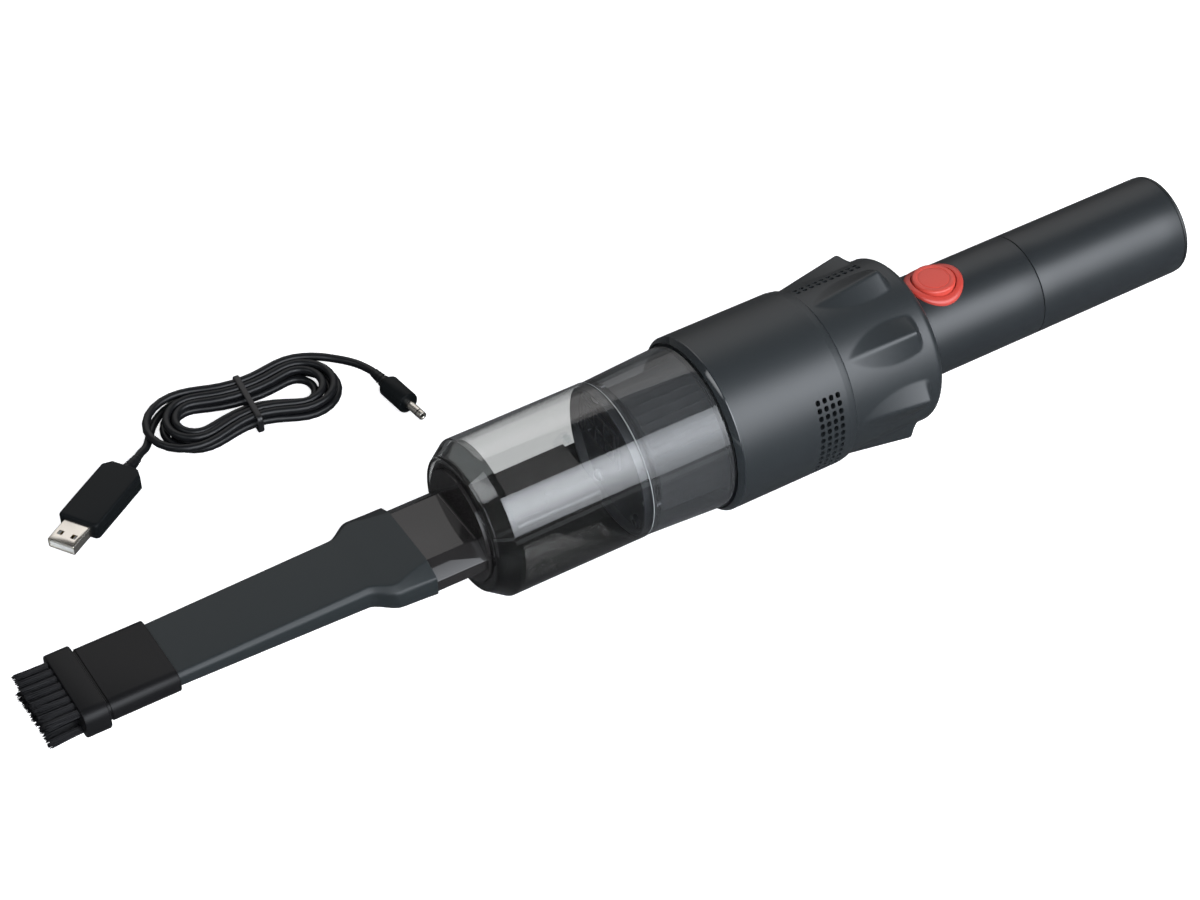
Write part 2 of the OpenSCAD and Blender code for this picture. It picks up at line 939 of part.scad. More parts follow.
module motor_plate() {
    color("#4a4d50")
    difference() {
        disc(x_mouth + plate_in, plate_t, cover_r);
        disc(x_mouth + plate_in - past, plate_t + 2 * past, plate_hole_r);
        post_holes(plate_in - past, plate_t + 2 * past, post_bore_r);
        motor_screw_row(plate_in - past, plate_t + 2 * past, motor_screw_r + fit);
        for (i = [0 : 5])
            at_angle(x_mouth + plate_in - past, 60 * i + 30)
                translate([0, -4, motor_r + 2.5])
                    cube([plate_t + 2 * past, 8, 10]);
    }
}

module motor_screw_row(start, length, r) {
    for (side = [-1, 1])
        wire(x_mouth + start, length, side * motor_screw_at, 0, r);
}

// Long screws through plate and fan cover into the housing's ledge
module plate_screws() {
    color("silver") {
        post_holes(motor_in, screw_head, post_r - 0.3);
        post_holes(socket_depth + 0.8, motor_in + screw_head / 2 - socket_depth - 0.8, post_screw_r);
    }
}

module motor_screws() {
    color("silver") {
        motor_screw_row(plate_in - screw_head, screw_head, 1.9 * motor_screw_r);
        motor_screw_row(plate_in - screw_head / 2, screw_head / 2 + plate_t + can_face - 0.2,
            motor_screw_r);
    }
}

module motor_can() {
    x = x_mouth + motor_in;
    color("#8d9296")
    difference() {
        union() {
            disc(x, motor_len, motor_r);
            disc(x - plate_t + 0.6, plate_t, motor_boss_r);
        }
        disc(x + can_face, motor_len, motor_r - can_wall);
        disc(x - plate_t, 2 * plate_t + can_face, bearing_r);
        motor_screw_row(motor_in - past, can_face + past - 0.1, motor_screw_r + run_fit);
    }
}

module motor_magnets() {
    color("#3b3b3b")
    intersection() {
        ring(x_mouth + motor_in + 6, motor_len - 12,
            motor_r - can_wall - 0.05, motor_r - can_wall - 1.6);
        for (side = [-1, 1])
            box_at(x_mouth + motor_in, motor_len, side * motor_r, 1.4 * motor_r,
                -motor_r, 2 * motor_r);
    }
}

module motor_end_cap() {
    x = x_mouth + end_cap_in;
    color("#1b1b1b")
    difference() {
        union() {
            disc(x, end_cap_t, motor_r);
            disc(x - 3, 3, motor_r - can_wall - fit);
        }
        ring(x - 3 - past, 3 + past, motor_r - can_wall - 2, 0);
        disc(x - past, end_cap_t - 0.6 + past, bearing_r);
    }
}

module motor_terminals() {
    x = x_mouth + end_cap_in + end_cap_t;
    color("gold")
    for (side = [-1, 1])
        box_at(x, terminal_h, side * terminal_y, 0.6, board_t + wire_r - 1.5, 3);
}

module motor_shaft() {
    back = end_cap_in + end_cap_t - 1;
    color("silver")
        disc(x_mouth + shaft_in, back - shaft_in, shaft_r);
}

// Armature with its commutator, on the shaft
module armature() {
    x = x_mouth + motor_in;
    core_r = motor_r - can_wall - 2.2;
    color("#9a6a3a")
    difference() {
        union() {
            disc(x + 7, motor_len - 14, core_r);
            disc(x + motor_len - 7, 4, 4);
            disc(x + 4, 3, 3);
        }
        disc(x, motor_len, shaft_r + 0.02);
        for (i = [0 : 4])
            at_angle(x + 7 - past, 72 * i)
                translate([0, -0.8, core_r - 4])
                    cube([motor_len - 14 + 2 * past, 1.6, 6]);
    }
}

module impeller() {
    x = x_mouth + fan_in;
    reach = fan_r - blade_t - blade_root;
    way = [for (i = [0 : blade_steps])
        let(s = i / blade_steps)
        [blade_root + reach * s, blade_sweep * s]];
    edges = [for (p = way) p + [0, fan_turn(p[0])]];
    backs = [for (i = [0 : blade_steps])
        let(p = way[blade_steps - i])
        p - [0, fan_turn(p[0])]];
    outline = [for (p = concat(edges, backs)) p[0] * [cos(p[1]), sin(p[1])]];
    color("#d9dcdc")
    difference() {
        union() {
            disc(x + fan_depth - fan_plate_t, fan_plate_t, fan_r);
            disc(x + 1.6, fan_depth - 1.6, fan_hub_r);
            for (i = [0 : fan_blades - 1])
                on_axis(x + fan_gap)
                    rotate([0, 0, 360 * i / fan_blades])
                        linear_extrude(fan_depth - fan_gap - fan_plate_t / 2)
                            polygon(outline);
        }
        disc(x - past, fan_depth + 2 * past, shaft_r + 0.02);
    }
}

// Half the angle that a fan blade's thickness takes up at a radius
function fan_turn(r) = blade_t / 2 / r * 180 / PI;

// Dust cup, chamber and filter

module chamber_seal() {
    color("#101010")
        ring(x_mouth + socket_depth - seal_t, seal_t, socket_r - 0.1, ledge_r + 1);
}

module filter_chamber() {
    length = x_chamber_back - x_join;
    color("#4b4f52", 0.6)
    difference() {
        union() {
            ring(x_join, length, chamber_r, chamber_in_r);
            ring(x_join - chamber_spigot_len, chamber_spigot_len + partition_t + chamber_ledge_t,
                chamber_spigot_r, partition_seat_r);
            ring(x_join + partition_t, chamber_ledge_t, partition_seat_r + past,
                screw_at - screw_boss_r);
        }
        partition_screw_row(x_join, partition_t + chamber_ledge_t + past, screw_r + run_fit);
    }
}

module partition_screw_row(x, length, r) {
    for (i = [0 : 2])
        at_angle(x, screw_turn + third * i)
            translate([0, 0, screw_at])
                rotate([0, 90, 0])
                    cylinder(h = length, r = r, $fn = 24);
}

// Wall in front of the filter, with a framed window and three screw bosses
module partition() {
    color("#3c4043")
    difference() {
        union() {
            disc(x_join, partition_t, partition_r);
            partition_screw_row(x_join - screw_boss_h, screw_boss_h + past, screw_boss_r);
            box_at(x_join - window_rise, window_rise + past, window_y,
                window_w + 2 * window_rim, window_z - window_h / 2 - window_rim,
                window_h + 2 * window_rim);
        }
        for (col = [-1, 0, 1], row = [-1, 1])
            box_at(x_join - past - window_rise, partition_t + window_rise + 2 * past,
                window_y + col * window_w / 3, window_w / 3 - 1,
                window_z + row * window_h / 4 - window_h / 4 + 0.5, window_h / 2 - 1);
        partition_screw_row(x_join - 4, 8, screw_r + run_fit);
        partition_screw_row(x_join - 4, 4 - screw_boss_h + screw_head, 2 * screw_r + fit);
    }
}

module partition_screws() {
    head = x_join - screw_boss_h;
    color("silver") {
        partition_screw_row(head, screw_head, 2 * screw_r);
        partition_screw_row(head + screw_head / 2, screw_head / 2 + partition_t + 1.4, screw_r);
    }
}

module filter_frame() {
    front = x_join + partition_t + chamber_ledge_t + frame_in;
    back = x_chamber_back - 0.2;
    cage_len = back - front - frame_cap_t - frame_rim_t;
    color("#2b2e30") {
        disc(front, frame_cap_t, pleat_out + 0.8);
        ring(back - frame_rim_t, frame_rim_t, frame_r, frame_bore_r);
        difference() {
            ring(front + frame_cap_t, cage_len, pleat_in - 1.2, pleat_in - 2.6);
            for (i = [0 : cage_bars - 1])
                at_angle(front + frame_cap_t + 2, 360 * i / cage_bars)
                    translate([0, -cage_window / 2, pleat_in - 5])
                        cube([cage_len - 4, cage_window, 6]);
        }
    }
}

// Folded paper between the cap and the rim of the frame
module filter_pleats() {
    front = x_join + partition_t + chamber_ledge_t + frame_in + frame_cap_t;
    back = x_chamber_back - 0.2 - frame_rim_t;
    paper = 0.9;
    outer = [for (i = [0 : 2 * pleats - 1])
        let(a = 180 * i / pleats, r = i % 2 == 0 ? pleat_out : pleat_in + paper)
        r * [cos(a), sin(a)]];
    inner = [for (i = [0 : 2 * pleats - 1])
        let(a = 180 * i / pleats, r = i % 2 == 0 ? pleat_out - paper : pleat_in)
        r * [cos(a), sin(a)]];
    color("#e6e4dc")
    on_axis(front)
        linear_extrude(back - front)
            difference() {
                polygon(outer);
                polygon(inner);
            }
}

module dust_cup() {
    color("#6a7076", 0.5)
    turned(x_cup)
        polygon([
            [neck_disc_r + fit, 0], [front_r, 0], [cup_r, chamfer_len], [cup_r, cup_len],
            [cup_in_r, cup_len], [cup_in_r, chamfer_len + 0.8],
            [front_r - 0.8, cup_wall], [neck_disc_r + fit, cup_wall]
        ]);
}

// Outline of the neck, its upper corners cut by a wide bevel
module neck_outline(width, height) {
    a = width / 2;
    b = height / 2;
    r = 1.5;
    low = b - neck_bevel_h;
    polygon([
        [-a, low], [neck_bevel_w - a, b], [a - neck_bevel_w, b], [a, low],
        [a, r - b], [a - r, -b], [r - a, -b], [-a, r - b]
    ]);
}

module inlet_neck() {
    inner = x_cup + cup_wall;
    ear_x = inner + neck_seat_t + duct_in_len;
    hinge_z = duct_t / 2 + duct_wall + flap_hub_r;
    color("#3f3d3c")
    difference() {
        union() {
            disc(x_disc, neck_disc_rise + cup_wall, neck_disc_r);
            disc(inner, neck_seat_t, neck_seat_r);
            bar(x_neck, neck_len + past)
                neck_outline(neck_w, neck_t);
            bar(x_neck - spigot_in_len, spigot_in_len + past)
                neck_outline(nozzle_w - 2 * socket_skin - 2 * blade_fit,
                    nozzle_t - 2 * socket_skin - 2 * blade_fit);
            bar(inner, neck_seat_t + duct_in_len)
                round_rect(duct_w + 2 * duct_wall, duct_t + 2 * duct_wall, duct_r + duct_wall);
            for (side = [-1, 1])
                box_at(ear_x - 3, 3 + 2 * flap_hub_r, side * (duct_w / 2 + ear_gap + ear_t / 2),
                    ear_t, duct_t / 2, duct_wall + 2 * flap_hub_r);
        }
        bar(x_neck - spigot_in_len - past, neck_len + spigot_in_len + front_len)
            round_rect(duct_w, duct_t, duct_r);
        translate([ear_x + flap_hub_r, -duct_w, axis_h + hinge_z])
            rotate([-90, 0, 0])
                cylinder(h = 2 * duct_w, r = flap_pin_r + run_fit, $fn = 32);
    }
}

// Flap that hangs over the end of the duct and swings into the cup
module inlet_flap() {
    x = x_cup + cup_wall + neck_seat_t + duct_in_len;
    hinge_z = duct_t / 2 + duct_wall + flap_hub_r;
    drop = duct_t + 2 * duct_wall + flap_hub_r - 0.4;
    color("#26282a")
    difference() {
        union() {
            translate([x + flap_hub_r, -duct_w / 2, axis_h + hinge_z])
                rotate([-90, 0, 0])
                    cylinder(h = duct_w, r = flap_hub_r - 0.2, $fn = 32);
            box_at(x + 0.2, flap_t, 0, duct_w, hinge_z - drop, drop);
        }
        translate([x + flap_hub_r, -duct_w, axis_h + hinge_z])
            rotate([-90, 0, 0])
                cylinder(h = 2 * duct_w, r = flap_pin_r + run_fit, $fn = 32);
    }
}

module flap_pin() {
    x = x_cup + cup_wall + neck_seat_t + duct_in_len + flap_hub_r;
    hinge_z = duct_t / 2 + duct_wall + flap_hub_r;
    length = duct_w + 2 * ear_gap + 2 * ear_t;
    color("silver")
    translate([x, -length / 2, axis_h + hinge_z])
        rotate([-90, 0, 0])
            cylinder(h = length, r = flap_pin_r, $fn = 32);
}

// Nozzle and brush

// Blend between two rounded sections
module blend(x1, w1, t1, x2, w2, t2, r) {
    hull() {
        slice(x1, w1, t1, r);
        slice(x2 - 0.02, w2, t2, r);
    }
}

// Width of the shoulder at a share of its length, narrow at 0 and wide at 1, with a soft turn at
// both ends
function shoulder_w(s) = blade_root_w + (nozzle_w - blade_root_w) * s * s * (3 - 2 * s);
function shoulder_t(s) = blade_root_t + (nozzle_front_t - blade_root_t) * s;

module crevice_nozzle() {
    x_socket = x_neck - nozzle_socket_len;
    x_blade = x_socket - nozzle_shoulder_len;
    x_room = x_neck - spigot_in_len - spigot_end_gap;
    inner = 2 * blade_wall;
    skin = 2 * socket_skin;
    color("#34393b")
    difference() {
        union() {
            hull() {
                bar(x_socket, 0.02)
                    neck_outline(nozzle_w, nozzle_front_t);
                bar(x_neck - 0.02, 0.02)
                    neck_outline(nozzle_w, nozzle_t);
            }
            for (i = [0 : shoulder_steps - 1])
                let(a = i / shoulder_steps, b = (i + 1) / shoulder_steps)
                    blend(x_blade + a * nozzle_shoulder_len, shoulder_w(a), shoulder_t(a),
                        x_blade + b * nozzle_shoulder_len + 0.02, shoulder_w(b), shoulder_t(b),
                        blade_r);
            blend(x_collar, blade_tip_w, blade_tip_t, x_blade + 0.02,
                blade_root_w, blade_root_t, blade_r);
            bar(x_collar - blade_in_len, blade_in_len + 0.01)
                round_rect(blade_tip_w, blade_tip_t, blade_r);
        }
        bar(x_room, spigot_in_len + spigot_end_gap + past)
            neck_outline(nozzle_w - skin, nozzle_t - skin);
        blend(x_blade, blade_root_w - inner, blade_root_t - inner, x_room + 0.01,
            blade_root_w, blade_root_t - inner, blade_r - blade_wall);
        blend(x_collar, blade_tip_w - inner, blade_tip_t - inner, x_blade + 0.01,
            blade_root_w - inner, blade_root_t - inner, blade_r - blade_wall);
        bar(x_collar - blade_in_len - past, blade_in_len + past + 0.01)
            round_rect(blade_tip_w - inner, blade_tip_t - inner, blade_r - blade_wall);
    }
}

// Sleeve that slips over the blade, with a thicker flange that holds the bristles
module brush_collar() {
    groove_x = x_flange;
    color("#1e1e20")
    difference() {
        union() {
            bar(groove_x, sleeve_len)
                round_rect(sleeve_w, sleeve_t, sleeve_corner);
            bar(x_root, flange_len)
                round_rect(flange_w, flange_t, flange_corner);
        }
        difference() {
            bar(groove_x - 0.01, groove_len)
                square([2 * flange_w, 2 * flange_t], center = true);
            bar(groove_x - past, groove_len + 2 * past)
                round_rect(sleeve_w - 2 * groove_depth, sleeve_t - 2 * groove_depth,
                    sleeve_corner - groove_depth);
        }
        bar(x_collar - blade_pocket_len, blade_pocket_len + past)
            round_rect(blade_tip_w + 2 * blade_fit, blade_tip_t + 2 * blade_fit, blade_r);
        bar(x_root - past, collar_len + 2 * past)
            round_rect(passage_w, passage_t, 1);
        for (side = [-1, 1])
            box_at(x_root - past, row_depth + past, 0, row_width() + 2 * fit,
                side * row_z - row_half_t - fit, 2 * (row_half_t + fit));
    }
}

function tuft_cols() = strand_cells + 1;
function row_cols() = tufts * tuft_cols() - 1;
function row_width() = row_cols() * cell_pitch;
function noise(i, j) = abs(sin(12.99 * i * 57.3 + 78.23 * j * 57.3) * 437.58) % 1;

module brush_bristles() {
    color("#141416")
    for (side = [-1, 1])
        bristle_row(side);
}

// One row of tufts as a single closed shape. Each strand stands on one cell of a grid, and a
// column of flat cells parts the tufts.
module bristle_row(side) {
    cols = row_cols();
    rows = strand_rows;
    base_x = x_root + 0.1;
    back_x = x_root + row_depth - 0.1;
    half_w = row_width() / 2;
    row_pitch = 2 * row_half_t / rows;
    grid = [for (j = [0 : rows], i = [0 : cols])
        [base_x, i * cell_pitch - half_w, axis_h + side * row_z - row_half_t + j * row_pitch]];
    back = [for (j = [0, rows], i = [0, cols])
        [back_x, i * cell_pitch - half_w, axis_h + side * row_z - row_half_t + j * row_pitch]];
    strands = [for (j = [0 : rows - 1], i = [0 : cols - 1]) if (i % tuft_cols() < strand_cells) [i, j]];
    tips = [for (s = strands)
        let(i = s[0], j = s[1], y = (i + 0.5) * cell_pitch - half_w,
            z = side * row_z - row_half_t + (j + 0.5) * row_pitch,
            tip_x = x_root - bristle_len + bristle_vary * noise(i + 40 * side, j + 3))
        for (c = [[-1, -1], [1, -1], [1, 1], [-1, 1]])
            [tip_x, y * (1 + fan_out * bristle_len / 13.6) + c[0] * strand_tip,
                axis_h + side * row_z + (z - side * row_z) * bristle_spread
                    + side * 0.05 * bristle_len + c[1] * strand_tip]];
    grid_n = (rows + 1) * (cols + 1);
    function g(i, j) = j * (cols + 1) + i;
    function b(i, j) = grid_n + 2 * j + i;
    strand_faces = [for (n = [0 : len(strands) - 1])
        let(i = strands[n][0], j = strands[n][1], t = grid_n + 4 + 4 * n,
            low = [g(i, j), g(i + 1, j), g(i + 1, j + 1), g(i, j + 1)])
        each concat(
            [for (k = [0 : 3]) each [[low[k], low[(k + 1) % 4], t + k],
                [t + k, low[(k + 1) % 4], t + (k + 1) % 4]]],
            [[t, t + 1, t + 2], [t, t + 2, t + 3]])];
    flat_faces = [for (j = [0 : rows - 1], i = [0 : cols - 1]) if (i % tuft_cols() >= strand_cells)
        each [[g(i, j), g(i + 1, j), g(i + 1, j + 1)], [g(i, j), g(i + 1, j + 1), g(i, j + 1)]]];
    low_side = concat([for (i = [0 : cols - 1]) [g(i + 1, 0), g(i, 0), b(0, 0)]],
        [[g(cols, 0), b(0, 0), b(1, 0)]]);
    high_side = concat([for (i = [0 : cols - 1]) [g(i, rows), g(i + 1, rows), b(0, 1)]],
        [[g(cols, rows), b(1, 1), b(0, 1)]]);
    near_side = concat([for (j = [0 : rows - 1]) [g(0, j), g(0, j + 1), b(0, 0)]],
        [[g(0, rows), b(0, 1), b(0, 0)]]);
    far_side = concat([for (j = [0 : rows - 1]) [g(cols, j + 1), g(cols, j), b(1, 0)]],
        [[g(cols, rows), b(1, 0), b(1, 1)]]);
    back_faces = [[b(0, 0), b(0, 1), b(1, 1)], [b(0, 0), b(1, 1), b(1, 0)]];
    faces = concat(strand_faces, flat_faces, low_side, high_side, near_side, far_side, back_faces);
    polyhedron(points = concat(grid, back, tips), faces = faces);
}

// Charging lead

waist_r = (lobe_at * lobe_at + waist * waist - lobe_r * lobe_r) / (2 * (lobe_r - waist));
lobe_turn = atan2(waist + waist_r, -lobe_at);
lobe_arc = lobe_turn * lobe_r;
waist_arc = (lobe_turn - 90) * waist_r;
loop_arc = 2 * (lobe_arc + waist_arc);

// Point of a loop at a share u of its way round, clockwise from the top of the right lobe.
// A loop that lies further in has smaller lobes, parallel to the outer one.
function loop_point(u, inset) =
    let(s = (u - floor(u)) * loop_arc, half = loop_arc / 2, side = s < half ? 1 : -1,
        h = s < half ? s : s - half,
        a = lobe_turn - 2 * lobe_turn * h / lobe_arc,
        b = (lobe_turn - 90) * (1 - 2 * (h - lobe_arc) / waist_arc))
    side * (h < lobe_arc
        ? [lobe_at + (lobe_r - inset) * cos(a), (lobe_r - inset) * sin(a)]
        : [(waist_r + inset) * sin(b), (waist_r + inset) * cos(b) - waist - waist_r]);
start_u = (lobe_arc + waist_arc + (180 + lobe_turn - leave_left) / (2 * lobe_turn) * lobe_arc)
    / loop_arc;
end_u = (lobe_turn - leave_right) / (2 * lobe_turn) * lobe_arc / loop_arc;
all_turns = loop_turns + (end_u + 1 - start_u);
hank_steps = round(all_turns * rings_per_loop);

// The hank spirals in on the ground, climbs a layer in the half turn where it reverses, and
// spirals out again on top. It rises a little where the tie passes under it.
hank_path = [for (i = [0 : hank_steps])
    let(t = all_turns * i / hank_steps, half = all_turns / 2,
        p = loop_point(start_u + t, loop_step * (half - abs(t - half))),
        climb = min(1, max(0, (t - half + climb_turns / 2) / climb_turns)),
        rise = climb * climb * (3 - 2 * climb),
        lift = tie_lift * exp(-pow(p[0] / tie_lift_reach, 2)))
    [hank_pos[0] + p[0] * cos(hank_turn) - p[1] * sin(hank_turn),
        hank_pos[1] + p[0] * sin(hank_turn) + p[1] * cos(hank_turn),
        lead_d / 2 + layer_rise * rise + lift]];
hank_gap = min([for (i = [0 : hank_steps], k = [0 : hank_steps])
    if (k - i > rings_per_loop / 4) norm(hank_path[i] - hank_path[k])]) - lead_d;
echo(hank_gap = hank_gap);
assert(hank_gap > min(loop_gap, layer_gap) - 0.1);

usb_way = [cos(usb_turn), sin(usb_turn), 0];
plug_way = [cos(plug_turn), sin(plug_turn), 0];
usb_run = concat([usb_relief_from], usb_points, [hank_path[0]]);
dc_run = concat([hank_path[hank_steps]], dc_points, [plug_relief_from]);
echo(lead_length = path_length(usb_run) + path_length(hank_path) + path_length(dc_run));
function path_length(p) = len(p) < 2 ? 0
    : [for (i = 0, s = 0; i < len(p); s = s + (i + 1 < len(p) ? norm(p[i + 1] - p[i]) : 0),
        i = i + 1) s][len(p) - 1];

// A rounded way through a list of points, a few steps to each stretch
function curve_point(p, i, t) =
    let(a = p[max(i - 1, 0)], b = p[i], c = p[i + 1], d = p[min(i + 2, len(p) - 1)])
    0.5 * ((2 * b) + (c - a) * t + (2 * a - 5 * b + 4 * c - d) * t * t
        + (3 * b - a - 3 * c + d) * t * t * t);
function curved(p, steps) = concat(
    [for (i = [0 : len(p) - 2], k = [0 : steps - 1]) curve_point(p, i, k / steps)],
    [p[len(p) - 1]]);

module lead_usb_run() {
    color("#17181a")
        sweep(curved(usb_run, 3), lead_d / 2, lead_side, 0, -usb_way, heading(hank_path, 0));
}

module lead_hank() {
    color("#17181a")
        sweep(hank_path, lead_d / 2, loop_sides, loop_side_turn);
}

module lead_dc_run() {
    color("#17181a")
        sweep(curved(dc_run, 3), lead_d / 2, lead_side, 0,
            heading(hank_path, hank_steps), plug_way);
}

// Band round the waist of the hank
module lead_tie() {
    half_w = waist + lead_d / 2 + slide_fit;
    low = tie_lift - tie_t;
    high = lead_d + layer_rise + tie_lift + slide_fit;
    height = high - low + tie_t - slide_fit;
    color("#101112")
    translate([hank_pos[0], hank_pos[1], low + height / 2 - 0.1])
        rotate([90, 0, 90 + hank_turn])
            translate([0, 0, -tie_w / 2])
                linear_extrude(tie_w)
                    difference() {
                        round_rect(2 * (half_w + tie_t), height, 3);
                        round_rect(2 * half_w, height - 2 * tie_t, 3 - tie_t);
                    }
}

// A piece on the lead, its own x pointing away from the cord's end at p
module on_lead(p, turn) {
    translate(p)
        rotate([0, 0, turn])
            children();
}

// Tapered and grooved strain relief along x
module relief(length, thin_r, thick_r) {
    pitch = length / relief_ribs;
    rotate([0, 90, 0])
        difference() {
            cylinder(h = length, r1 = thin_r, r2 = thick_r, $fn = 32);
            for (i = [1 : relief_ribs - 1])
                translate([0, 0, i * pitch - 0.3])
                    rotate_extrude()
                        translate([thin_r + (thick_r - thin_r) * i / relief_ribs - 0.5, 0])
                            square([2, 0.6]);
        }
}

module usb_relief() {
    color("#17181a")
    on_lead(usb_relief_from, usb_turn)
        relief(usb_relief_len, plug_neck_r, usb_relief_r);
}

module converter_case() {
    cut = case_corner;
    color("#1b1c1e")
    on_lead(usb_relief_from, usb_turn)
        translate([usb_relief_len, 0, -case_t / 2])
            linear_extrude(case_t)
                polygon([
                    [0, cut - case_w / 2], [cut, -case_w / 2], [case_len - 1, -case_w / 2],
                    [case_len, 1 - case_w / 2], [case_len, case_w / 2 - 1],
                    [case_len - 1, case_w / 2], [cut, case_w / 2], [0, case_w / 2 - cut]
                ]);
}

module usb_shell() {
    inner_w = shell_w - 2 * shell_skin;
    inner_t = shell_t - 2 * shell_skin;
    color("silver")
    on_lead(usb_relief_from, usb_turn)
        translate([usb_relief_len + case_len, 0, 0])
            difference() {
                translate([0, -shell_w / 2, -shell_t / 2])
                    cube([shell_len, shell_w, shell_t]);
                translate([0.5, -inner_w / 2, -inner_t / 2])
                    cube([shell_len, inner_w, inner_t]);
                for (side = [-1, 1])
                    translate([shell_len * 0.5, side * shell_w / 4 - 1.15, 0])
                        cube([2.3, 2.3, shell_t]);
            }
}

module usb_tongue() {
    inner_w = shell_w - 2 * shell_skin - 0.2;
    color("white")
    on_lead(usb_relief_from, usb_turn)
        translate([usb_relief_len + case_len + 0.5, -inner_w / 2, shell_skin - shell_t / 2 + 0.1])
            cube([shell_len - 1, inner_w, tongue_t]);
}

module plug_relief() {
    color("#17181a")
    on_lead(plug_relief_from, plug_turn)
        relief(plug_relief_len, plug_neck_r, plug_relief_r);
}

module plug_body() {
    color("#17181a")
    on_lead(plug_relief_from, plug_turn)
        translate([plug_relief_len, 0, 0])
            rotate([0, 90, 0])
                rotate_extrude()
                    polygon([
                        [0, 0], [plug_relief_r, 0], [plug_r, 2], [plug_r, plug_len - 0.6],
                        [plug_r - 0.6, plug_len], [0, plug_len]
                    ]);
}

module plug_barrel() {
    color("silver")
    on_lead(plug_relief_from, plug_turn)
        translate([plug_relief_len + plug_len, 0, 0])
            rotate([0, 90, 0])
                difference() {
                    cylinder(h = barrel_len, r = barrel_r, $fn = 32);
                    translate([0, 0, 0.5])
                        cylinder(h = barrel_len, r = barrel_bore_r, $fn = 24);
                }
}

front_housing();
rear_shell();
grip_tube();
battery_tube();
end_cap();
button_bezel();
button_cap();
button_spring();
power_switch();
switch_plunger();
control_board();
board_parts();
battery_cells();
cell_cradle();
cell_links();
charge_board();
charging_jack();
charge_lamp();
motor_leads();
battery_leads();
charge_leads();
handle_screws();
fan_cover();
motor_plate();
plate_screws();
motor_can();
motor_magnets();
motor_end_cap();
motor_terminals();
motor_screws();
motor_shaft();
armature();
impeller();
chamber_seal();
filter_chamber();
partition();
partition_screws();
filter_frame();
filter_pleats();
dust_cup();
inlet_neck();
inlet_flap();
flap_pin();
crevice_nozzle();
brush_collar();
brush_bristles();
usb_shell();
usb_tongue();
converter_case();
usb_relief();
lead_usb_run();
lead_hank();
lead_tie();
lead_dc_run();
plug_relief();
plug_body();
plug_barrel();
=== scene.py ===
"""Looks of a slim handheld vacuum cleaner and its charging lead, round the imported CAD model.

Each class holds one sub-assembly's sizes in millimetres, in the part's own frame: x runs along
the body to the end of the handle, z is up, and the ground is z = 0. Meshes are made in metres.
A corner of an outline is two numbers, and a third, its radius, where it is round.
"""

import json
import logging
import math
from dataclasses import dataclass, field
from enum import Enum
from typing import Callable, Optional, Sequence, Union

import bmesh
import bpy
import numpy as np
from mathutils import Matrix, Vector


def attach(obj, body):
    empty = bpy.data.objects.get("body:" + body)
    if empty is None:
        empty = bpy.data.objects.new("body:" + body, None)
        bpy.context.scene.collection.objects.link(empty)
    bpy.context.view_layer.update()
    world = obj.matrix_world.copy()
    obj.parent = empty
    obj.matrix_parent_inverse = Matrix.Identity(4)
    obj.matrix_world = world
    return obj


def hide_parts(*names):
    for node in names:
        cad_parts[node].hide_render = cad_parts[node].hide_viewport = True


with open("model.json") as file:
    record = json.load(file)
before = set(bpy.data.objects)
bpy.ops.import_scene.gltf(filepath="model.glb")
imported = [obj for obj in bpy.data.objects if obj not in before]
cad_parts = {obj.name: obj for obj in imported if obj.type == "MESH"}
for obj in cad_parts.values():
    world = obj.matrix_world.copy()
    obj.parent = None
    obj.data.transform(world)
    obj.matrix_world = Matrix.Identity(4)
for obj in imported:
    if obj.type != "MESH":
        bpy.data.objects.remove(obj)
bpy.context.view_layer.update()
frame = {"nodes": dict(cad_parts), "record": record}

MM = 0.001
AXIS_Z = 37.8
BODY_LINE = Matrix.Translation((0, 0, AXIS_Z))
UPRIGHT = Matrix.Rotation(math.radians(-90), 4, "Y")
GROUND = Matrix()
SHARP = 32.0
GOLDEN_ANGLE = 2.39996
log = logging.getLogger("vacuum")

Point = Sequence[float]
Value = Union["Wire", float, int, bool, Sequence[float]]


# Node trees


def operator(operation: str, swapped: bool = False) -> Callable:
    """Makes an operator of Wire from a Math node.

    Args:
        operation: Blender's name of the operation.
        swapped: whether self is the second operand.
    Returns:
        The operator.
    """

    def apply(self: "Wire", other: Value) -> "Wire":
        """The Math node's result."""
        return self.maths(operation, *((other, self) if swapped else (self, other)))

    return apply


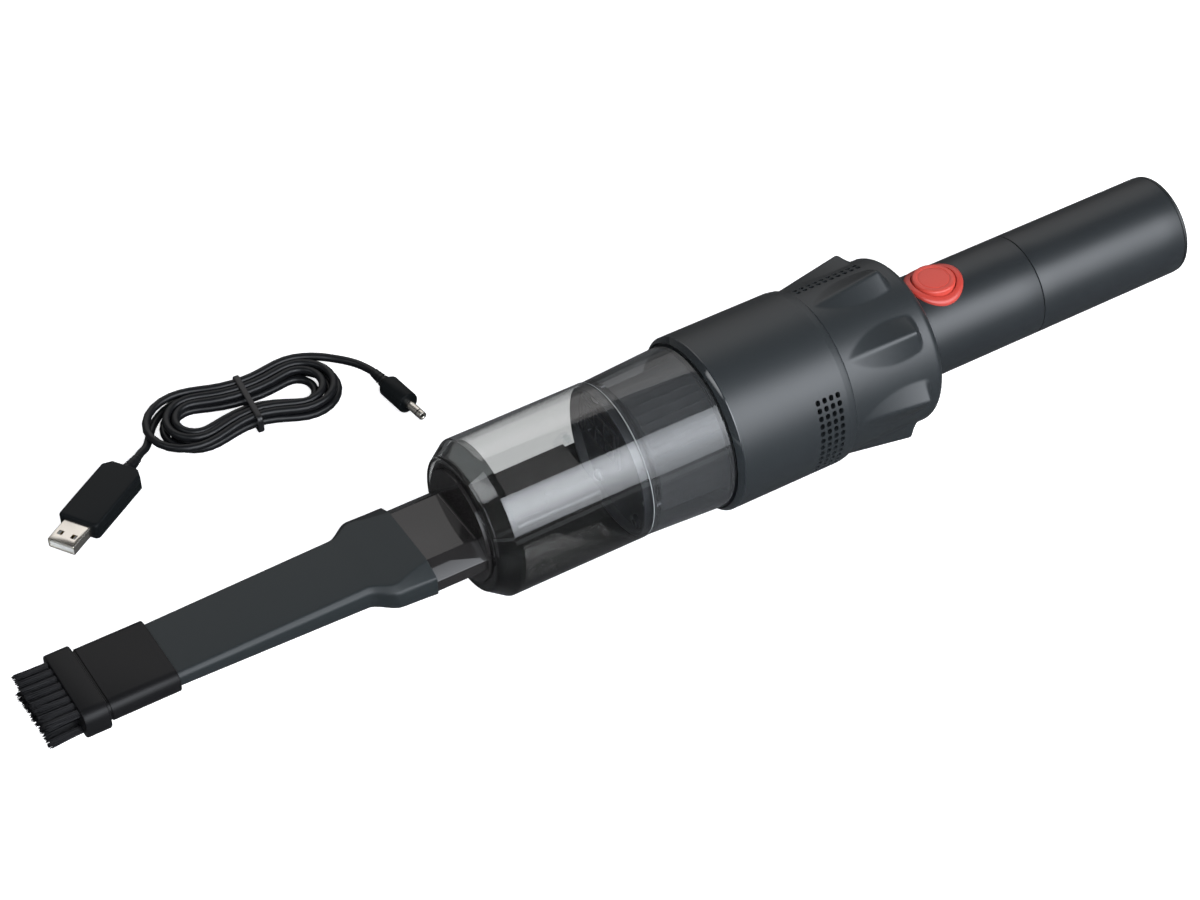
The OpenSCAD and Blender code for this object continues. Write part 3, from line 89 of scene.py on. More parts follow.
class Wire:
    """A socket of a node tree, with Python's maths on it."""

    def __init__(self, tree: bpy.types.NodeTree, socket: bpy.types.NodeSocket) -> None:
        """Keeps the tree and the socket."""
        self.tree = tree
        self.socket = socket

    __add__, __radd__ = operator("ADD"), operator("ADD", True)
    __sub__, __rsub__ = operator("SUBTRACT"), operator("SUBTRACT", True)
    __mul__, __rmul__ = operator("MULTIPLY"), operator("MULTIPLY", True)
    __truediv__, __rtruediv__ = operator("DIVIDE"), operator("DIVIDE", True)
    __pow__, __mod__ = operator("POWER"), operator("FLOORED_MODULO")

    def side(self, name: str) -> "Wire":
        """Another output of the same node."""
        return Wire(self.tree, self.socket.node.outputs[name])

    def maths(self, operation: str, *values: Value) -> "Wire":
        """Adds a Math node.

        Args:
            operation: Blender's name of the operation.
            values: its operands, wires or numbers.
        Returns:
            The result.
        """
        node = self.tree.nodes.new("ShaderNodeMath")
        node.operation = operation
        for socket, value in zip(node.inputs, values):
            if isinstance(value, Wire):
                self.tree.links.new(value.socket, socket)
            else:
                socket.default_value = value
        return Wire(self.tree, node.outputs[0])

    def __neg__(self) -> "Wire":
        """Minus self."""
        return self * -1.0

    def __abs__(self) -> "Wire":
        """Size of self without its sign."""
        return self.maths("ABSOLUTE", self)

    def sin(self) -> "Wire":
        """Sine."""
        return self.maths("SINE", self)

    def cos(self) -> "Wire":
        """Cosine."""
        return self.maths("COSINE", self)

    def floor(self) -> "Wire":
        """Whole part."""
        return self.maths("FLOOR", self)

    def within(self, low: float, high: float) -> "Wire":
        """Held between low and high."""
        return self.maths("MINIMUM", self.maths("MAXIMUM", self, low), high)

    def above(self, edge: Value) -> "Wire":
        """1 where self is more than edge, else 0."""
        return self.maths("GREATER_THAN", self, edge)


class Tree:
    """Builder of one node tree."""

    def __init__(self, tree: bpy.types.NodeTree) -> None:
        """Keeps the tree."""
        self.tree = tree

    def add(
        self,
        kind: str,
        settings: Optional[dict] = None,
        values: Optional[dict] = None,
        out: Union[int, str] = 0,
    ) -> Wire:
        """Adds a node of any kind.

        Args:
            kind: the node's type.
            settings: its own settings, set first; "stops" are a ramp's places and colours.
            values: numbers, colours or wires by the name or number of the socket, and a list
                of wires for a socket that takes several.
            out: name or number of the output that is wanted.
        Returns:
            That output, or the first input of a node that has no output.
        """
        node = self.tree.nodes.new(kind)
        for name, value in (settings or {}).items():
            if name != "stops":
                setattr(node, name, value)
                continue
            ramp = node.color_ramp
            while len(ramp.elements) < len(value):
                ramp.elements.new(0.5)
            for stop, (place, colour) in zip(ramp.elements, value):
                stop.position = place
                stop.color = (*colour, 1.0)
        for name, value in (values or {}).items():
            for one in value if isinstance(value, list) else [value]:
                if isinstance(one, Wire):
                    self.tree.links.new(one.socket, node.inputs[name])
                else:
                    node.inputs[name].default_value = one
        return Wire(self.tree, node.outputs[out] if len(node.outputs) else node.inputs[0])

    def mix(self, share: Value, low: Value, high: Value) -> Wire:
        """Colour between low and high."""
        return self.add("ShaderNodeMix", {"data_type": "RGBA"}, {0: share, 6: low, 7: high}, 2)

    def noise(self, where: Wire, scale: float, detail: float = 2.0) -> Wire:
        """Noise from 0 to 1, of so many swells a metre."""
        values = {"Vector": where, "Scale": scale, "Detail": detail}
        return self.add("ShaderNodeTexNoise", None, values, "Fac")

    def bump(self, height: Wire, strength: float, depth: float) -> Wire:
        """Normal of a relief whose depth is in millimetres."""
        values = {"Strength": strength, "Distance": depth * MM, "Height": height}
        return self.add("ShaderNodeBump", None, values, "Normal")

    def vector(self, *axes: Value) -> Wire:
        """Vector of an x and, if given, a y and a z."""
        return self.add("ShaderNodeCombineXYZ", None, dict(zip("XYZ", axes)))

    def axes(self, vector: Wire) -> tuple[Wire, Wire, Wire]:
        """The x, y and z of a vector."""
        x = self.add("ShaderNodeSeparateXYZ", None, {0: vector}, "X")
        return x, x.side("Y"), x.side("Z")

    def moved(self, shape: Wire, spot: Wire) -> Wire:
        """Geometry with its points set to a place."""
        values = {"Geometry": shape, "Position": spot}
        return self.add("GeometryNodeSetPosition", None, values)

    def copies(self, points: Wire, copy: Wire, values: dict) -> Wire:
        """Instances of a geometry on points, with values for their turn or size."""
        values = {"Points": points, "Instance": copy, **values}
        return self.add("GeometryNodeInstanceOnPoints", None, values)


def cleared(owner: Union[bpy.types.Material, bpy.types.World, bpy.types.Light]) -> Tree:
    """Empties a node tree.

    Args:
        owner: the material, world or lamp that it belongs to.
    Returns:
        The empty tree.
    """
    owner.use_nodes = True
    owner.node_tree.nodes.clear()
    return Tree(owner.node_tree)


def straight_sight(tree: Tree) -> Wire:
    """Marks rays from the camera, also those that have only gone through clear pieces.

    Args:
        tree: the tree that asks.
    Returns:
        1 for such a ray, else 0.
    """
    path = tree.add("ShaderNodeLightPath", out="Is Camera Ray")
    bounced = path.side("Diffuse Depth") + path.side("Glossy Depth")
    through = path.side("Is Transmission Ray") * (1 - bounced.above(0.5))
    return path.maths("MAXIMUM", path, through)


def tinted(colour: Point, share: float) -> tuple:
    """A colour made lighter or darker by a share, with its fourth value."""
    return (*[min(1.0, c * share) for c in colour[:3]], 1.0)


# Finishes


@dataclass(frozen=True)
class Finish:
    """A finish, by the name of its slot in the record or by its own."""

    name: str
    colour: tuple[float, float, float]

    def paint(self, tree: Tree, where: Wire) -> Wire:
        """Adds the finish's nodes, from Object coordinates, and returns the shader."""
        raise NotImplementedError

    def material(self) -> bpy.types.Material:
        """Makes the finish's material, once.

        Returns:
            The material.
        """
        material = bpy.data.materials.get("finish_" + self.name)
        if not material:
            material = bpy.data.materials.new("finish_" + self.name)
            tree = cleared(material)
            shader = self.paint(tree, tree.add("ShaderNodeTexCoord", out="Object"))
            tree.add("ShaderNodeOutputMaterial", None, {"Surface": shader})
            material.diffuse_color = (*self.colour, 1.0)
        return material


@dataclass(frozen=True)
class Moulded(Finish):
    """Moulded plastic or rubber with a fine grain, in millimetres."""

    rough: float = 0.42
    grain: float = 0.5
    depth: float = 0.006
    mottle: float = 0.05
    vary: float = 0.05
    coat: float = 0.0
    level: float = 0.5

    def paint(self, tree: Tree, where: Wire) -> Wire:
        """Grain in the bump, and a slow drift of tone and gloss.

        Args:
            tree: the material's tree.
            where: Object coordinates.
        Returns:
            The shader.
        """
        fine = tree.noise(where, 1000 / self.grain)
        broad = tree.noise(where, 38.0, 3.0)
        low, high = tinted(self.colour, 1 - self.mottle), tinted(self.colour, 1 + self.mottle)
        rough = (self.rough - self.vary) + (broad * 1.2 + fine * 0.8) * self.vary
        values = {
            "Base Color": tree.mix(broad * 0.7 + fine * 0.3, low, high),
            "Roughness": rough.within(0.02, 1.0),
            "Normal": tree.bump(fine, 0.7, self.depth),
            "Coat Weight": self.coat,
            "Coat Roughness": 0.08,
            "Specular IOR Level": self.level,
        }
        return tree.add("ShaderNodeBsdfPrincipled", None, values)


@dataclass(frozen=True)
class Clear(Finish):
    """Clear or smoked plastic that lets lamps through to what it holds."""

    rough: float = 0.02
    shade: tuple[float, float, float] = (0.5, 0.5, 0.5)
    wave: float = 0.02
    ior: float = 1.49
    haze: float = 0.0

    def paint(self, tree: Tree, where: Wire) -> Wire:
        """Glass with faint moulding waves, and a plain tint for rays to the lamps.

        Args:
            tree: the material's tree.
            where: Object coordinates.
        Returns:
            The shader.
        """
        waves = tree.noise(where, 60.0, 1.0)
        values = {
            "Base Color": tree.mix(waves, tinted(self.colour, 0.98), tinted(self.colour, 1.02)),
            "Roughness": (self.rough - 0.005) + waves * 0.01,
            "Normal": tree.bump(waves, 0.5, self.wave),
            "Transmission Weight": 1.0,
            "IOR": self.ior,
        }
        glass = tree.add("ShaderNodeBsdfPrincipled", None, values)
        if self.haze:
            cloud = tree.add("ShaderNodeBsdfDiffuse", None, {"Color": (*self.colour, 1)})
            glass = tree.add("ShaderNodeMixShader", None, {0: self.haze, 1: glass, 2: cloud})
        lamps = tree.add("ShaderNodeBsdfTransparent", None, {"Color": (*self.shade, 1)})
        shadow = tree.add("ShaderNodeLightPath", out="Is Shadow Ray")
        return tree.add("ShaderNodeMixShader", None, {0: shadow, 1: glass, 2: lamps})


@dataclass(frozen=True)
class Metal(Finish):
    """Bare or plated metal with fine brushing along one way."""

    rough: float = 0.25
    stretch: tuple[float, float, float] = (1.0, 1.0, 1.0)

    def paint(self, tree: Tree, where: Wire) -> Wire:
        """Stretched noise in the gloss and the bump.

        Args:
            tree: the material's tree.
            where: Object coordinates.
        Returns:
            The shader.
        """
        way = tree.add("ShaderNodeMapping", None, {"Vector": where, "Scale": self.stretch})
        brush = tree.noise(way, 900.0, 4.0)
        values = {
            "Base Color": tree.mix(brush, tinted(self.colour, 0.9), tinted(self.colour, 1.06)),
            "Metallic": 1.0,
            "Roughness": (self.rough - 0.08) + brush * 0.16,
            "Normal": tree.bump(brush, 0.3, 0.004),
        }
        return tree.add("ShaderNodeBsdfPrincipled", None, values)


FINISHES: dict[str, Finish] = {
    one.name: one
    for one in (
        Moulded("housing_grey", (0.0155, 0.0185, 0.0205), 0.40, 0.34, 0.010),
        Moulded("lip_grey", (0.014, 0.017, 0.019), 0.09, 0.5, 0.001, vary=0.02, level=0.8),
        Moulded("handle_grey", (0.0135, 0.016, 0.018), 0.38, 0.30, 0.007),
        Moulded("cap_black", (0.010, 0.011, 0.012), 0.45, 0.4, 0.008),
        Moulded("button_red", (0.50, 0.052, 0.036), 0.38, 0.3, 0.005, 0.04),
        Moulded("button_ring_red", (0.42, 0.042, 0.030), 0.36, 0.3, 0.005, 0.04),
        Metal("spring_steel", (0.56, 0.56, 0.58), 0.25, (1, 6, 1)),
        Moulded("switch_black", (0.012, 0.012, 0.013), 0.45, 0.6),
        Moulded("fan_white", (0.72, 0.73, 0.72), 0.4, 0.8),
        Moulded("board_green", (0.02, 0.12, 0.045), 0.25, 1.2, 0.01, 0.12),
        Moulded("board_parts", (0.05, 0.045, 0.04), 0.4, 0.5),
        Moulded("cell_wrap", (0.04, 0.17, 0.42), 0.22, 2.5, 0.02, 0.08, 0.03, 0.3),
        Moulded("cradle_white", (0.66, 0.66, 0.62), 0.5, 0.7),
        Metal("nickel", (0.80, 0.765, 0.70), 0.24, (1, 1, 5)),
        Moulded("lamp_clear", (0.62, 0.72, 0.62), 0.12, 1.0, 0.002),
        Moulded("wire_red", (0.42, 0.016, 0.016), 0.4, 0.5),
        Moulded("wire_black", (0.014, 0.014, 0.014), 0.42, 0.5),
        Metal("screw_steel", (0.52, 0.52, 0.54), 0.3),
        Moulded("inner_black", (0.014, 0.015, 0.016), 0.5, 0.6),
        Metal("motor_steel", (0.44, 0.45, 0.46), 0.32, (8, 1, 1)),
        Moulded("magnet", (0.04, 0.04, 0.042), 0.6, 0.3, 0.02, 0.15),
        Metal("terminal_brass", (0.68, 0.48, 0.2), 0.28),
        Metal("armature_copper", (0.62, 0.26, 0.12), 0.3, (1, 12, 12)),
        Moulded("seal_rubber", (0.010, 0.010, 0.011), 0.6, 0.7, 0.01),
        Clear("smoked_clear", (0.34, 0.35, 0.36), 0.03, (0.24, 0.25, 0.26), 0.01, haze=0.06),
        Moulded("partition_grey", (0.030, 0.031, 0.034), 0.42, 1.0, 0.004, level=0.4),
        Moulded("filter_paper", (0.17, 0.166, 0.158), 0.85, 0.4, 0.05, 0.12, level=0.3),
        Clear("cup_clear", (0.84, 0.85, 0.85), 0.012, (0.66, 0.68, 0.68), 0.005),
        Clear("lining_smoke", (0.20, 0.21, 0.21), 0.012, (0.2, 0.21, 0.21), 0.005, 1.2),
        Clear("flap_clear", (0.94, 0.95, 0.95), 0.006, (0.9, 0.9, 0.9), 0.0, 1.0),
        # Pale opaque grey that paints the highlight on the clear cup's rear edge
        Moulded("cup_rim", (0.33, 0.35, 0.355), 0.2, 0.8, 0.001),
        Moulded("neck_smoke", (0.015, 0.014, 0.014), 0.04, 1.5, 0.0004, 0.03, 0.006, level=0.42),
        Moulded("nozzle_grey", (0.0135, 0.017, 0.0185), 0.46, 0.5, 0.008, vary=0.04, level=0.34),
        Moulded("collar_black", (0.0065, 0.0065, 0.007), 0.36, 0.6, vary=0.04, level=0.16),
        Moulded("bristle_black", (0.003, 0.003, 0.004), 0.22, 0.2, 0.002, vary=0.04, level=0.18),
        Moulded("tongue_white", (0.72, 0.72, 0.69), 0.35, 0.6),
        Moulded("lead_case_black", (0.005, 0.0062, 0.007), 0.38, 0.55, 0.02, level=0.12),
        Moulded("lead_black", (0.0055, 0.006, 0.007), 0.34, 0.8, vary=0.04, level=0.3),
        Moulded("tie_black", (0.008, 0.008, 0.009), 0.4, 0.4),
    )
}


# Drawing


def rounded(outline: Sequence[Point], steps: int = 5) -> list:
    """Rounds the corners of a closed outline.

    Args:
        outline: the corners.
        steps: points to each round corner, less one.
    Returns:
        The points.
    """
    points: list[tuple[float, float]] = []
    for i, corner in enumerate(outline):
        middle = np.array(corner[:2], float)
        radius = corner[2] if len(corner) > 2 else 0.0
        if radius == 0:
            points.append(tuple(middle))
            continue
        back = np.array(outline[i - 1][:2], float) - middle
        ahead = np.array(outline[(i + 1) % len(outline)][:2], float) - middle
        reach = 0.48 * min(np.linalg.norm(back), np.linalg.norm(ahead))
        back /= np.linalg.norm(back)
        ahead /= np.linalg.norm(ahead)
        half = math.acos(max(-1.0, min(1.0, float(back @ ahead)))) / 2
        cut = min(radius / math.tan(half), reach)
        way = (back + ahead) / np.linalg.norm(back + ahead)
        centre = middle + way * cut / math.cos(half)
        first, last = middle + back * cut - centre, middle + ahead * cut - centre
        turn = math.pi - 2 * half
        for k in range(steps + 1):
            t = k / steps
            spot = first * math.sin((1 - t) * turn) + last * math.sin(t * turn)
            points.append(tuple(centre + spot / math.sin(turn)))
    return points


def soft_box(width: float, height: float, radius: float, steps: int, at: Point = (0, 0)) -> list:
    """Draws a rounded box.

    Args:
        width: its width.
        height: its height.
        radius: radius of its corners.
        steps: points to each corner, less one.
        at: its middle.
    Returns:
        The points.
    """
    a, b = width / 2, height / 2
    corners = [(-a, -b, radius), (a, -b, radius), (a, b, radius), (-a, b, radius)]
    return [(at[0] + p, at[1] + q) for p, q in rounded(corners, steps)]


def bevelled(
    width: float, tall: float, bevel: Point, soft: float, low: float, steps: int
) -> list:
    """Outline of a box whose upper corners are bevelled.

    Args:
        width: across.
        tall: thickness.
        bevel: width and height of the bevels.
        soft: radius at the bevels' edges.
        low: radius of the lower corners.
        steps: points to each round corner, less one.
    Returns:
        The points.
    """
    a, b = width / 2, tall / 2
    w, h = bevel
    upper = [(a, b - h, soft), (a - w, b, soft), (w - a, b, soft), (-a, b - h, soft)]
    return rounded([(-a, -b, low), (a, -b, low), *upper], steps)


def divided(outline: Sequence[Point], step: float) -> list:
    """Adds points to the long stretches of a closed outline.

    Args:
        outline: its points.
        step: the longest stretch that is left.
    Returns:
        The points.
    """
    points: list[tuple[float, float]] = []
    for i, here in enumerate(outline):
        ahead = outline[(i + 1) % len(outline)]
        parts = max(1, math.ceil(math.dist(here, ahead) / step))
        for k in range(parts):
            t = k / parts
            points.append(tuple(h + (n - h) * t for h, n in zip(here, ahead)))
    return points


@dataclass
class Draft:
    """Points and faces of a piece while it is shaped, in millimetres."""

    points: list = field(default_factory=list)
    faces: list = field(default_factory=list)

    def loft(self, rings: Sequence[Sequence[Point]], looped: bool = False) -> "Draft":
        """Skins rings of equal count, with flat ends unless it is looped.

        Args:
            rings: their points.
            looped: whether the last meets the first.
        Returns:
            The draft.
        """
        base, count = len(self.points), len(rings[0])
        faces = []
        for i in range(len(rings) - (0 if looped else 1)):
            a, b = i * count, (i + 1) % len(rings) * count
            for k in range(count):
                n = (k + 1) % count
                faces.append((a + k, a + n, b + n, b + k))
        if not looped:
            end = (len(rings) - 1) * count
            faces.append(tuple(range(count - 1, -1, -1)))
            faces.append(tuple(range(end, end + count)))
        self.points.extend(tuple(float(v) for v in p) for ring in rings for p in ring)
        self.faces.extend(tuple(base + i for i in face) for face in faces)
        return self

    def skin(
        self, sections: Sequence[tuple[float, Sequence[Point]]], looped: bool = False, axis: int = 0
    ) -> "Draft":
        """Skins flat sections that stand across an axis.

        Args:
            sections: the place and the outline of each.
            looped: whether the last meets the first.
            axis: 0, 1 or 2 for x, y or z.
        Returns:
            The draft.
        """
        rings = [[(*p[:axis], at, *p[axis:2]) for p in outline] for at, outline in sections]
        return self.loft(rings, looped)

    def bar(self, outline: Sequence[Point], places: Sequence[float], axis: int = 0) -> "Draft":
        """Runs one section through places along an axis."""
        return self.skin([(at, outline) for at in places], axis=axis)

    def turn(self, outline: Sequence[Point], steps: int = 192) -> "Draft":
        """Turns a closed outline round the x axis.

        Args:
            outline: its points, by their place along the axis and their distance from it.
            steps: how many outlines go round.
        Returns:
            The draft.
        """
        angles = [2 * math.pi * i / steps for i in range(steps)]
        rings = [[(x, r * math.cos(a), r * math.sin(a)) for x, r in outline] for a in angles]
        return self.loft(rings, looped=True)

    def tube(self, path: Sequence[Point], radius: float, sides: int) -> "Draft":
        """Sweeps a round section along a path.

        Args:
            path: its points.
            radius: radius of the section.
            sides: points round the section.
        Returns:
            The draft.
        """
        line = np.array(path, float)
        ways = np.gradient(line, axis=0)
        ways /= np.linalg.norm(ways, axis=1)[:, None]
        angles = np.linspace(0, 2 * math.pi, sides, endpoint=False)
        rings = []
        for spot, way in zip(line, ways):
            side = np.cross(way, (0, 0, 1))
            side /= np.linalg.norm(side)
            up = np.cross(side, way)
            rings.append([spot + radius * (math.cos(a) * side + math.sin(a) * up) for a in angles])
        return self.loft(rings)

    def piece(
        self, name: str, finish: str = "", place: Matrix = BODY_LINE, sharp: float = SHARP
    ) -> bpy.types.Object:
        """Makes the object.

        Args:
            name: its name.
            finish: name of its finish, if it has one.
            place: from the draft's own frame to the part's, both in millimetres.
            sharp: edges that turn by more degrees than this stay sharp.
        Returns:
            The object, at the origin.
        """
        mesh = bpy.data.meshes.new(name)
        mesh.from_pydata(self.points, [], self.faces)
        work = bmesh.new()
        work.from_mesh(mesh)
        bmesh.ops.remove_doubles(work, verts=work.verts, dist=0.002)
        bmesh.ops.dissolve_degenerate(work, edges=work.edges, dist=0.0005)
        bmesh.ops.recalc_face_normals(work, faces=work.faces)
        work.to_mesh(mesh)
        work.free()
        mesh.transform(Matrix.Scale(MM, 4) @ place)
        obj = bpy.data.objects.new(name, mesh)
        bpy.context.scene.collection.objects.link(obj)
        if finish:
            mesh.materials.append(FINISHES[finish].material())
        smooth(obj, sharp)
        return obj

    def seated(
        self, name: str, finish: str, body: str, *nodes: str, slot: str = "", **how: object
    ) -> bpy.types.Object:
        """Makes the object and seats it on its body.

        Args:
            name: its name.
            finish: name of its finish.
            body: name of the CAD body that carries it.
            nodes: CAD nodes that it stands for.
            slot: slot of the record, where it isn't the finish's name.
            how: place and sharp, as piece takes them.
        Returns:
            The object.
        """
        return seat(self.piece(name, finish, **how), body, slot or finish, *nodes)


def smooth(obj: bpy.types.Object, sharp: float = SHARP) -> None:
    """Shades a piece smooth, but for edges that turn by more degrees than sharp."""
    obj.data.shade_smooth()
    obj.data.set_sharp_from_angle(angle=math.radians(sharp))


def seat(obj: bpy.types.Object, body: str, slot: str, *nodes: str) -> bpy.types.Object:
    """Puts a finished piece on its body.

    Args:
        obj: the piece.
        body: name of the CAD body that carries it.
        slot: slot of the record that its finish belongs to; not used.
        nodes: CAD nodes that it stands for.
    Returns:
        The piece.
    """
    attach(obj, body)
    if nodes:
        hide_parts(*nodes)
    log.info("%s: %d faces on %s", obj.name, len(obj.data.polygons), body)
    return obj


def settle(obj: bpy.types.Object, modifier: bpy.types.Modifier, sharp: float = SHARP) -> None:
    """Keeps what a piece's modifier makes as its plain mesh.

    Args:
        obj: the piece.
        modifier: its modifier, which goes.
        sharp: edges that turn by more degrees than this stay sharp.
    """
    bpy.context.view_layer.update()
    view = bpy.context.evaluated_depsgraph_get()
    mesh = bpy.data.meshes.new_from_object(obj.evaluated_get(view))
    obj.modifiers.remove(modifier)
    old, obj.data = obj.data, mesh
    bpy.data.meshes.remove(old)
    mesh.name = obj.name
    smooth(obj, sharp)


def join(
    obj: bpy.types.Object, other: Draft, place: Matrix = BODY_LINE, how: str = "UNION"
) -> None:
    """Makes one solid of a piece and a draft.

    Args:
        obj: the piece.
        other: what is added or taken away.
        place: from the draft's own frame to the part's.
        how: UNION or DIFFERENCE.
    """
    tool = other.piece("tool", place=place)
    modifier = obj.modifiers.new("joined", "BOOLEAN")
    modifier.object = tool
    modifier.operation = how
    modifier.solver = "EXACT"
    settle(obj, modifier)
    bpy.data.objects.remove(tool)


def cut_out(obj: bpy.types.Object, cutter: Draft, place: Matrix = BODY_LINE) -> None:
    """Cuts a draft out of a piece."""
    join(obj, cutter, place, "DIFFERENCE")


# Geometry node trees


class Side(Enum):
    """On which sides of the top line a grid of pieces stands."""

    ONE = 1
    BOTH = 2


class Recipe:
    """A Geometry Nodes tree with named inputs, run once on a piece."""

    def __init__(self, name: str) -> None:
        """Starts a tree that takes and gives one geometry.

        Args:
            name: the tree's name.
        """
        self.group = bpy.data.node_groups.new(name, "GeometryNodeTree")
        self.tree = Tree(self.group)
        kind = "NodeSocketGeometry"
        for way in ("INPUT", "OUTPUT"):
            self.group.interface.new_socket("Geometry", in_out=way, socket_type=kind)
        self.source = self.tree.add("NodeGroupInput").socket.node

    def ask(self, kind: str, *names: str) -> list[Wire]:
        """Adds named inputs of a kind such as Float, Int, Object or Material."""
        for name in names:
            self.group.interface.new_socket(name, in_out="INPUT", socket_type="NodeSocket" + kind)
        return [Wire(self.group, self.source.outputs[name]) for name in names]

    def given(self) -> Wire:
        """The geometry that comes in."""
        return Wire(self.group, self.source.outputs["Geometry"])

    def close(self, shape: Wire) -> "Recipe":
        """Ends the tree in real, dressed geometry.

        Args:
            shape: the geometry.
        Returns:
            The recipe.
        """
        (material,) = self.ask("Material", "Material")
        real = self.tree.add("GeometryNodeRealizeInstances", None, {0: shape})
        values = {"Geometry": real, "Material": material}
        dressed = self.tree.add("GeometryNodeSetMaterial", None, values)
        self.tree.add("NodeGroupOutput", None, {0: dressed})
        return self

    def run(
        self, obj: bpy.types.Object, finish: str, counts: dict, sizes: dict, sharp: float = SHARP
    ) -> None:
        """Runs the tree and keeps the plain mesh.

        Args:
            obj: the piece that is changed.
            finish: name of its finish.
            counts: counts, angles and objects by the input's name.
            sizes: lengths in millimetres by the input's name.
            sharp: edges that turn by more degrees than this stay sharp.
        """
        modifier = obj.modifiers.new(self.group.name, "NODES")
        modifier.node_group = self.group
        values = {name: v * MM for name, v in {**sizes, "Axis height": AXIS_Z}.items()}
        values.update(counts, Material=FINISHES[finish].material())
        for item in self.group.interface.items_tree:
            if item.item_type == "SOCKET" and item.in_out == "INPUT" and item.name in values:
                modifier[item.identifier] = values[item.name]
        settle(obj, modifier, sharp)


def round_the_body(name: str, cut: bool) -> Recipe:
    """Tree that sets a piece in rows round the body, to join it or to cut it out.

    Args:
        name: the tree's name.
        cut: whether the pieces are holes.
    Returns:
        The tree.
    """
    recipe = Recipe(name)
    tree = recipe.tree
    (piece,) = recipe.ask("Object", "Piece")
    cols, rows, sides = recipe.ask("Int", "Columns", "Rows", "Sides")
    start, pitch, radius, line = recipe.ask("Float", "Start", "Pitch", "Radius", "Axis height")
    first, step = recipe.ask("Float", "First angle", "Angle step")
    row = tree.add("GeometryNodeMeshLine", None, {"Count": cols * rows * sides})
    index = tree.add("GeometryNodeInputIndex")
    sign = 1 - 2 * (index / (cols * rows)).floor()
    angle = sign * (first + step * ((index / cols).floor() % rows))
    along, across = start + pitch * (index % cols), -angle.sin() * radius
    placed = tree.moved(row, tree.vector(along, across, line + angle.cos() * radius))
    copy = tree.add("GeometryNodeObjectInfo", None, {0: piece}, "Geometry")
    stood = tree.copies(placed, copy, {"Rotation": tree.vector(angle)})
    if not cut:
        both = tree.add("GeometryNodeJoinGeometry", None, {0: [stood, recipe.given()]})
        return recipe.close(both)
    real = tree.add("GeometryNodeRealizeInstances", None, {0: stood})
    how = {"operation": "DIFFERENCE", "solver": "EXACT"}
    return recipe.close(tree.add("GeometryNodeMeshBoolean", how, {0: recipe.given(), 1: real}))


def fluting() -> Recipe:
    """Tree that raises lugs round a turned shell.

    A lug starts in a point, widens and rises to the rear in two flat flanks that meet at a
    crest, and drops in a short tail. A point marked as outer moves out to the lug where that
    stands over the shell.

    Returns:
        The tree.
    """
    recipe = Recipe("Fluted shell")
    tree = recipe.tree
    count, start, length, tail = recipe.ask("Float", "Lugs", "Start", "Length", "Tail")
    rise, half, crest, soft = recipe.ask("Float", "Rise", "Half width", "Crest", "Softness")
    shell, line = recipe.ask("Float", "Shell radius", "Axis height")
    x, y, z = tree.axes(tree.add("GeometryNodeInputPosition"))
    z = z - line
    radius = (y * y + z * z) ** 0.5
    sector = (2 * math.pi) / count
    angle = y.maths("ARCTAN2", y, z)
    off = abs(angle.maths("WRAP", angle, sector * 0.5, sector * -0.5))
    grown = ((x - start) / length).within(0.0, 1.0)
    fall = ((x - start - length) / tail).within(0.0, 1.0)
    fall = fall * fall * (3 - 2 * fall)
    width = half * (grown**0.8 * math.radians(115)).sin() * (1 - 0.26 * fall)
    width = width.maths("MAXIMUM", width, half * 0.06)
    top = shell + rise * grown * (1 - 1.35 * fall)
    flat = crest * (grown * 3 + 0.3).within(0.0, 1.0)
    low = (shell * shell - width * width) ** 0.5
    run_out, run_up = top - low, width - flat
    flank = (run_out * width + run_up * low) / (run_out * off.sin() + run_up * off.cos())
    lug = flank.maths("SMOOTH_MIN", flank, top / off.cos(), soft)
    raised = lug.maths("SMOOTH_MAX", lug, shell, soft * 0.8)
    reach = width.maths("ARCSINE", width / shell)
    foot = ((reach - off) / math.radians(1.4) + 1).within(0.0, 1.0)
    gain = raised.maths("MAXIMUM", raised - shell, 0.0) * foot
    kind = {"data_type": "FLOAT"}
    outer = tree.add("GeometryNodeInputNamedAttribute", kind, {"Name": "outer"})
    scale = 1 + gain * outer / radius
    spot = tree.vector(x, y * scale, z * scale + line)
    return recipe.close(tree.moved(recipe.given(), spot))


def ribs_on_taper() -> Recipe:
    """Tree that sets rings along a taper on the x axis, joined to what comes in.

    Returns:
        The tree.
    """
    recipe = Recipe("Ribs on a taper")
    tree = recipe.tree
    (count,) = recipe.ask("Int", "Ribs")
    names = "Length", "Thin radius", "Thick radius", "Rib half width"
    length, thin, thick, half = recipe.ask("Float", *names)
    line = tree.add("GeometryNodeMeshLine", None, {"Count": count})
    share = (tree.add("GeometryNodeInputIndex") + 0.5) / count
    placed = tree.moved(line, tree.vector(share * length))
    hoop = tree.add("GeometryNodeCurvePrimitiveCircle", None, {0: 40, "Radius": 1.0})
    section = tree.add("GeometryNodeCurvePrimitiveCircle", None, {0: 10, "Radius": half})
    ring = tree.add("GeometryNodeCurveToMesh", None, {0: hoop, 1: section})
    wide = thin + (thick - thin) * share
    values = {"Rotation": (0.0, math.pi / 2, 0.0), "Scale": tree.vector(wide, wide, 1.0)}
    stood = tree.copies(placed, ring, values)
    return recipe.close(tree.add("GeometryNodeJoinGeometry", None, {0: [stood, recipe.given()]}))


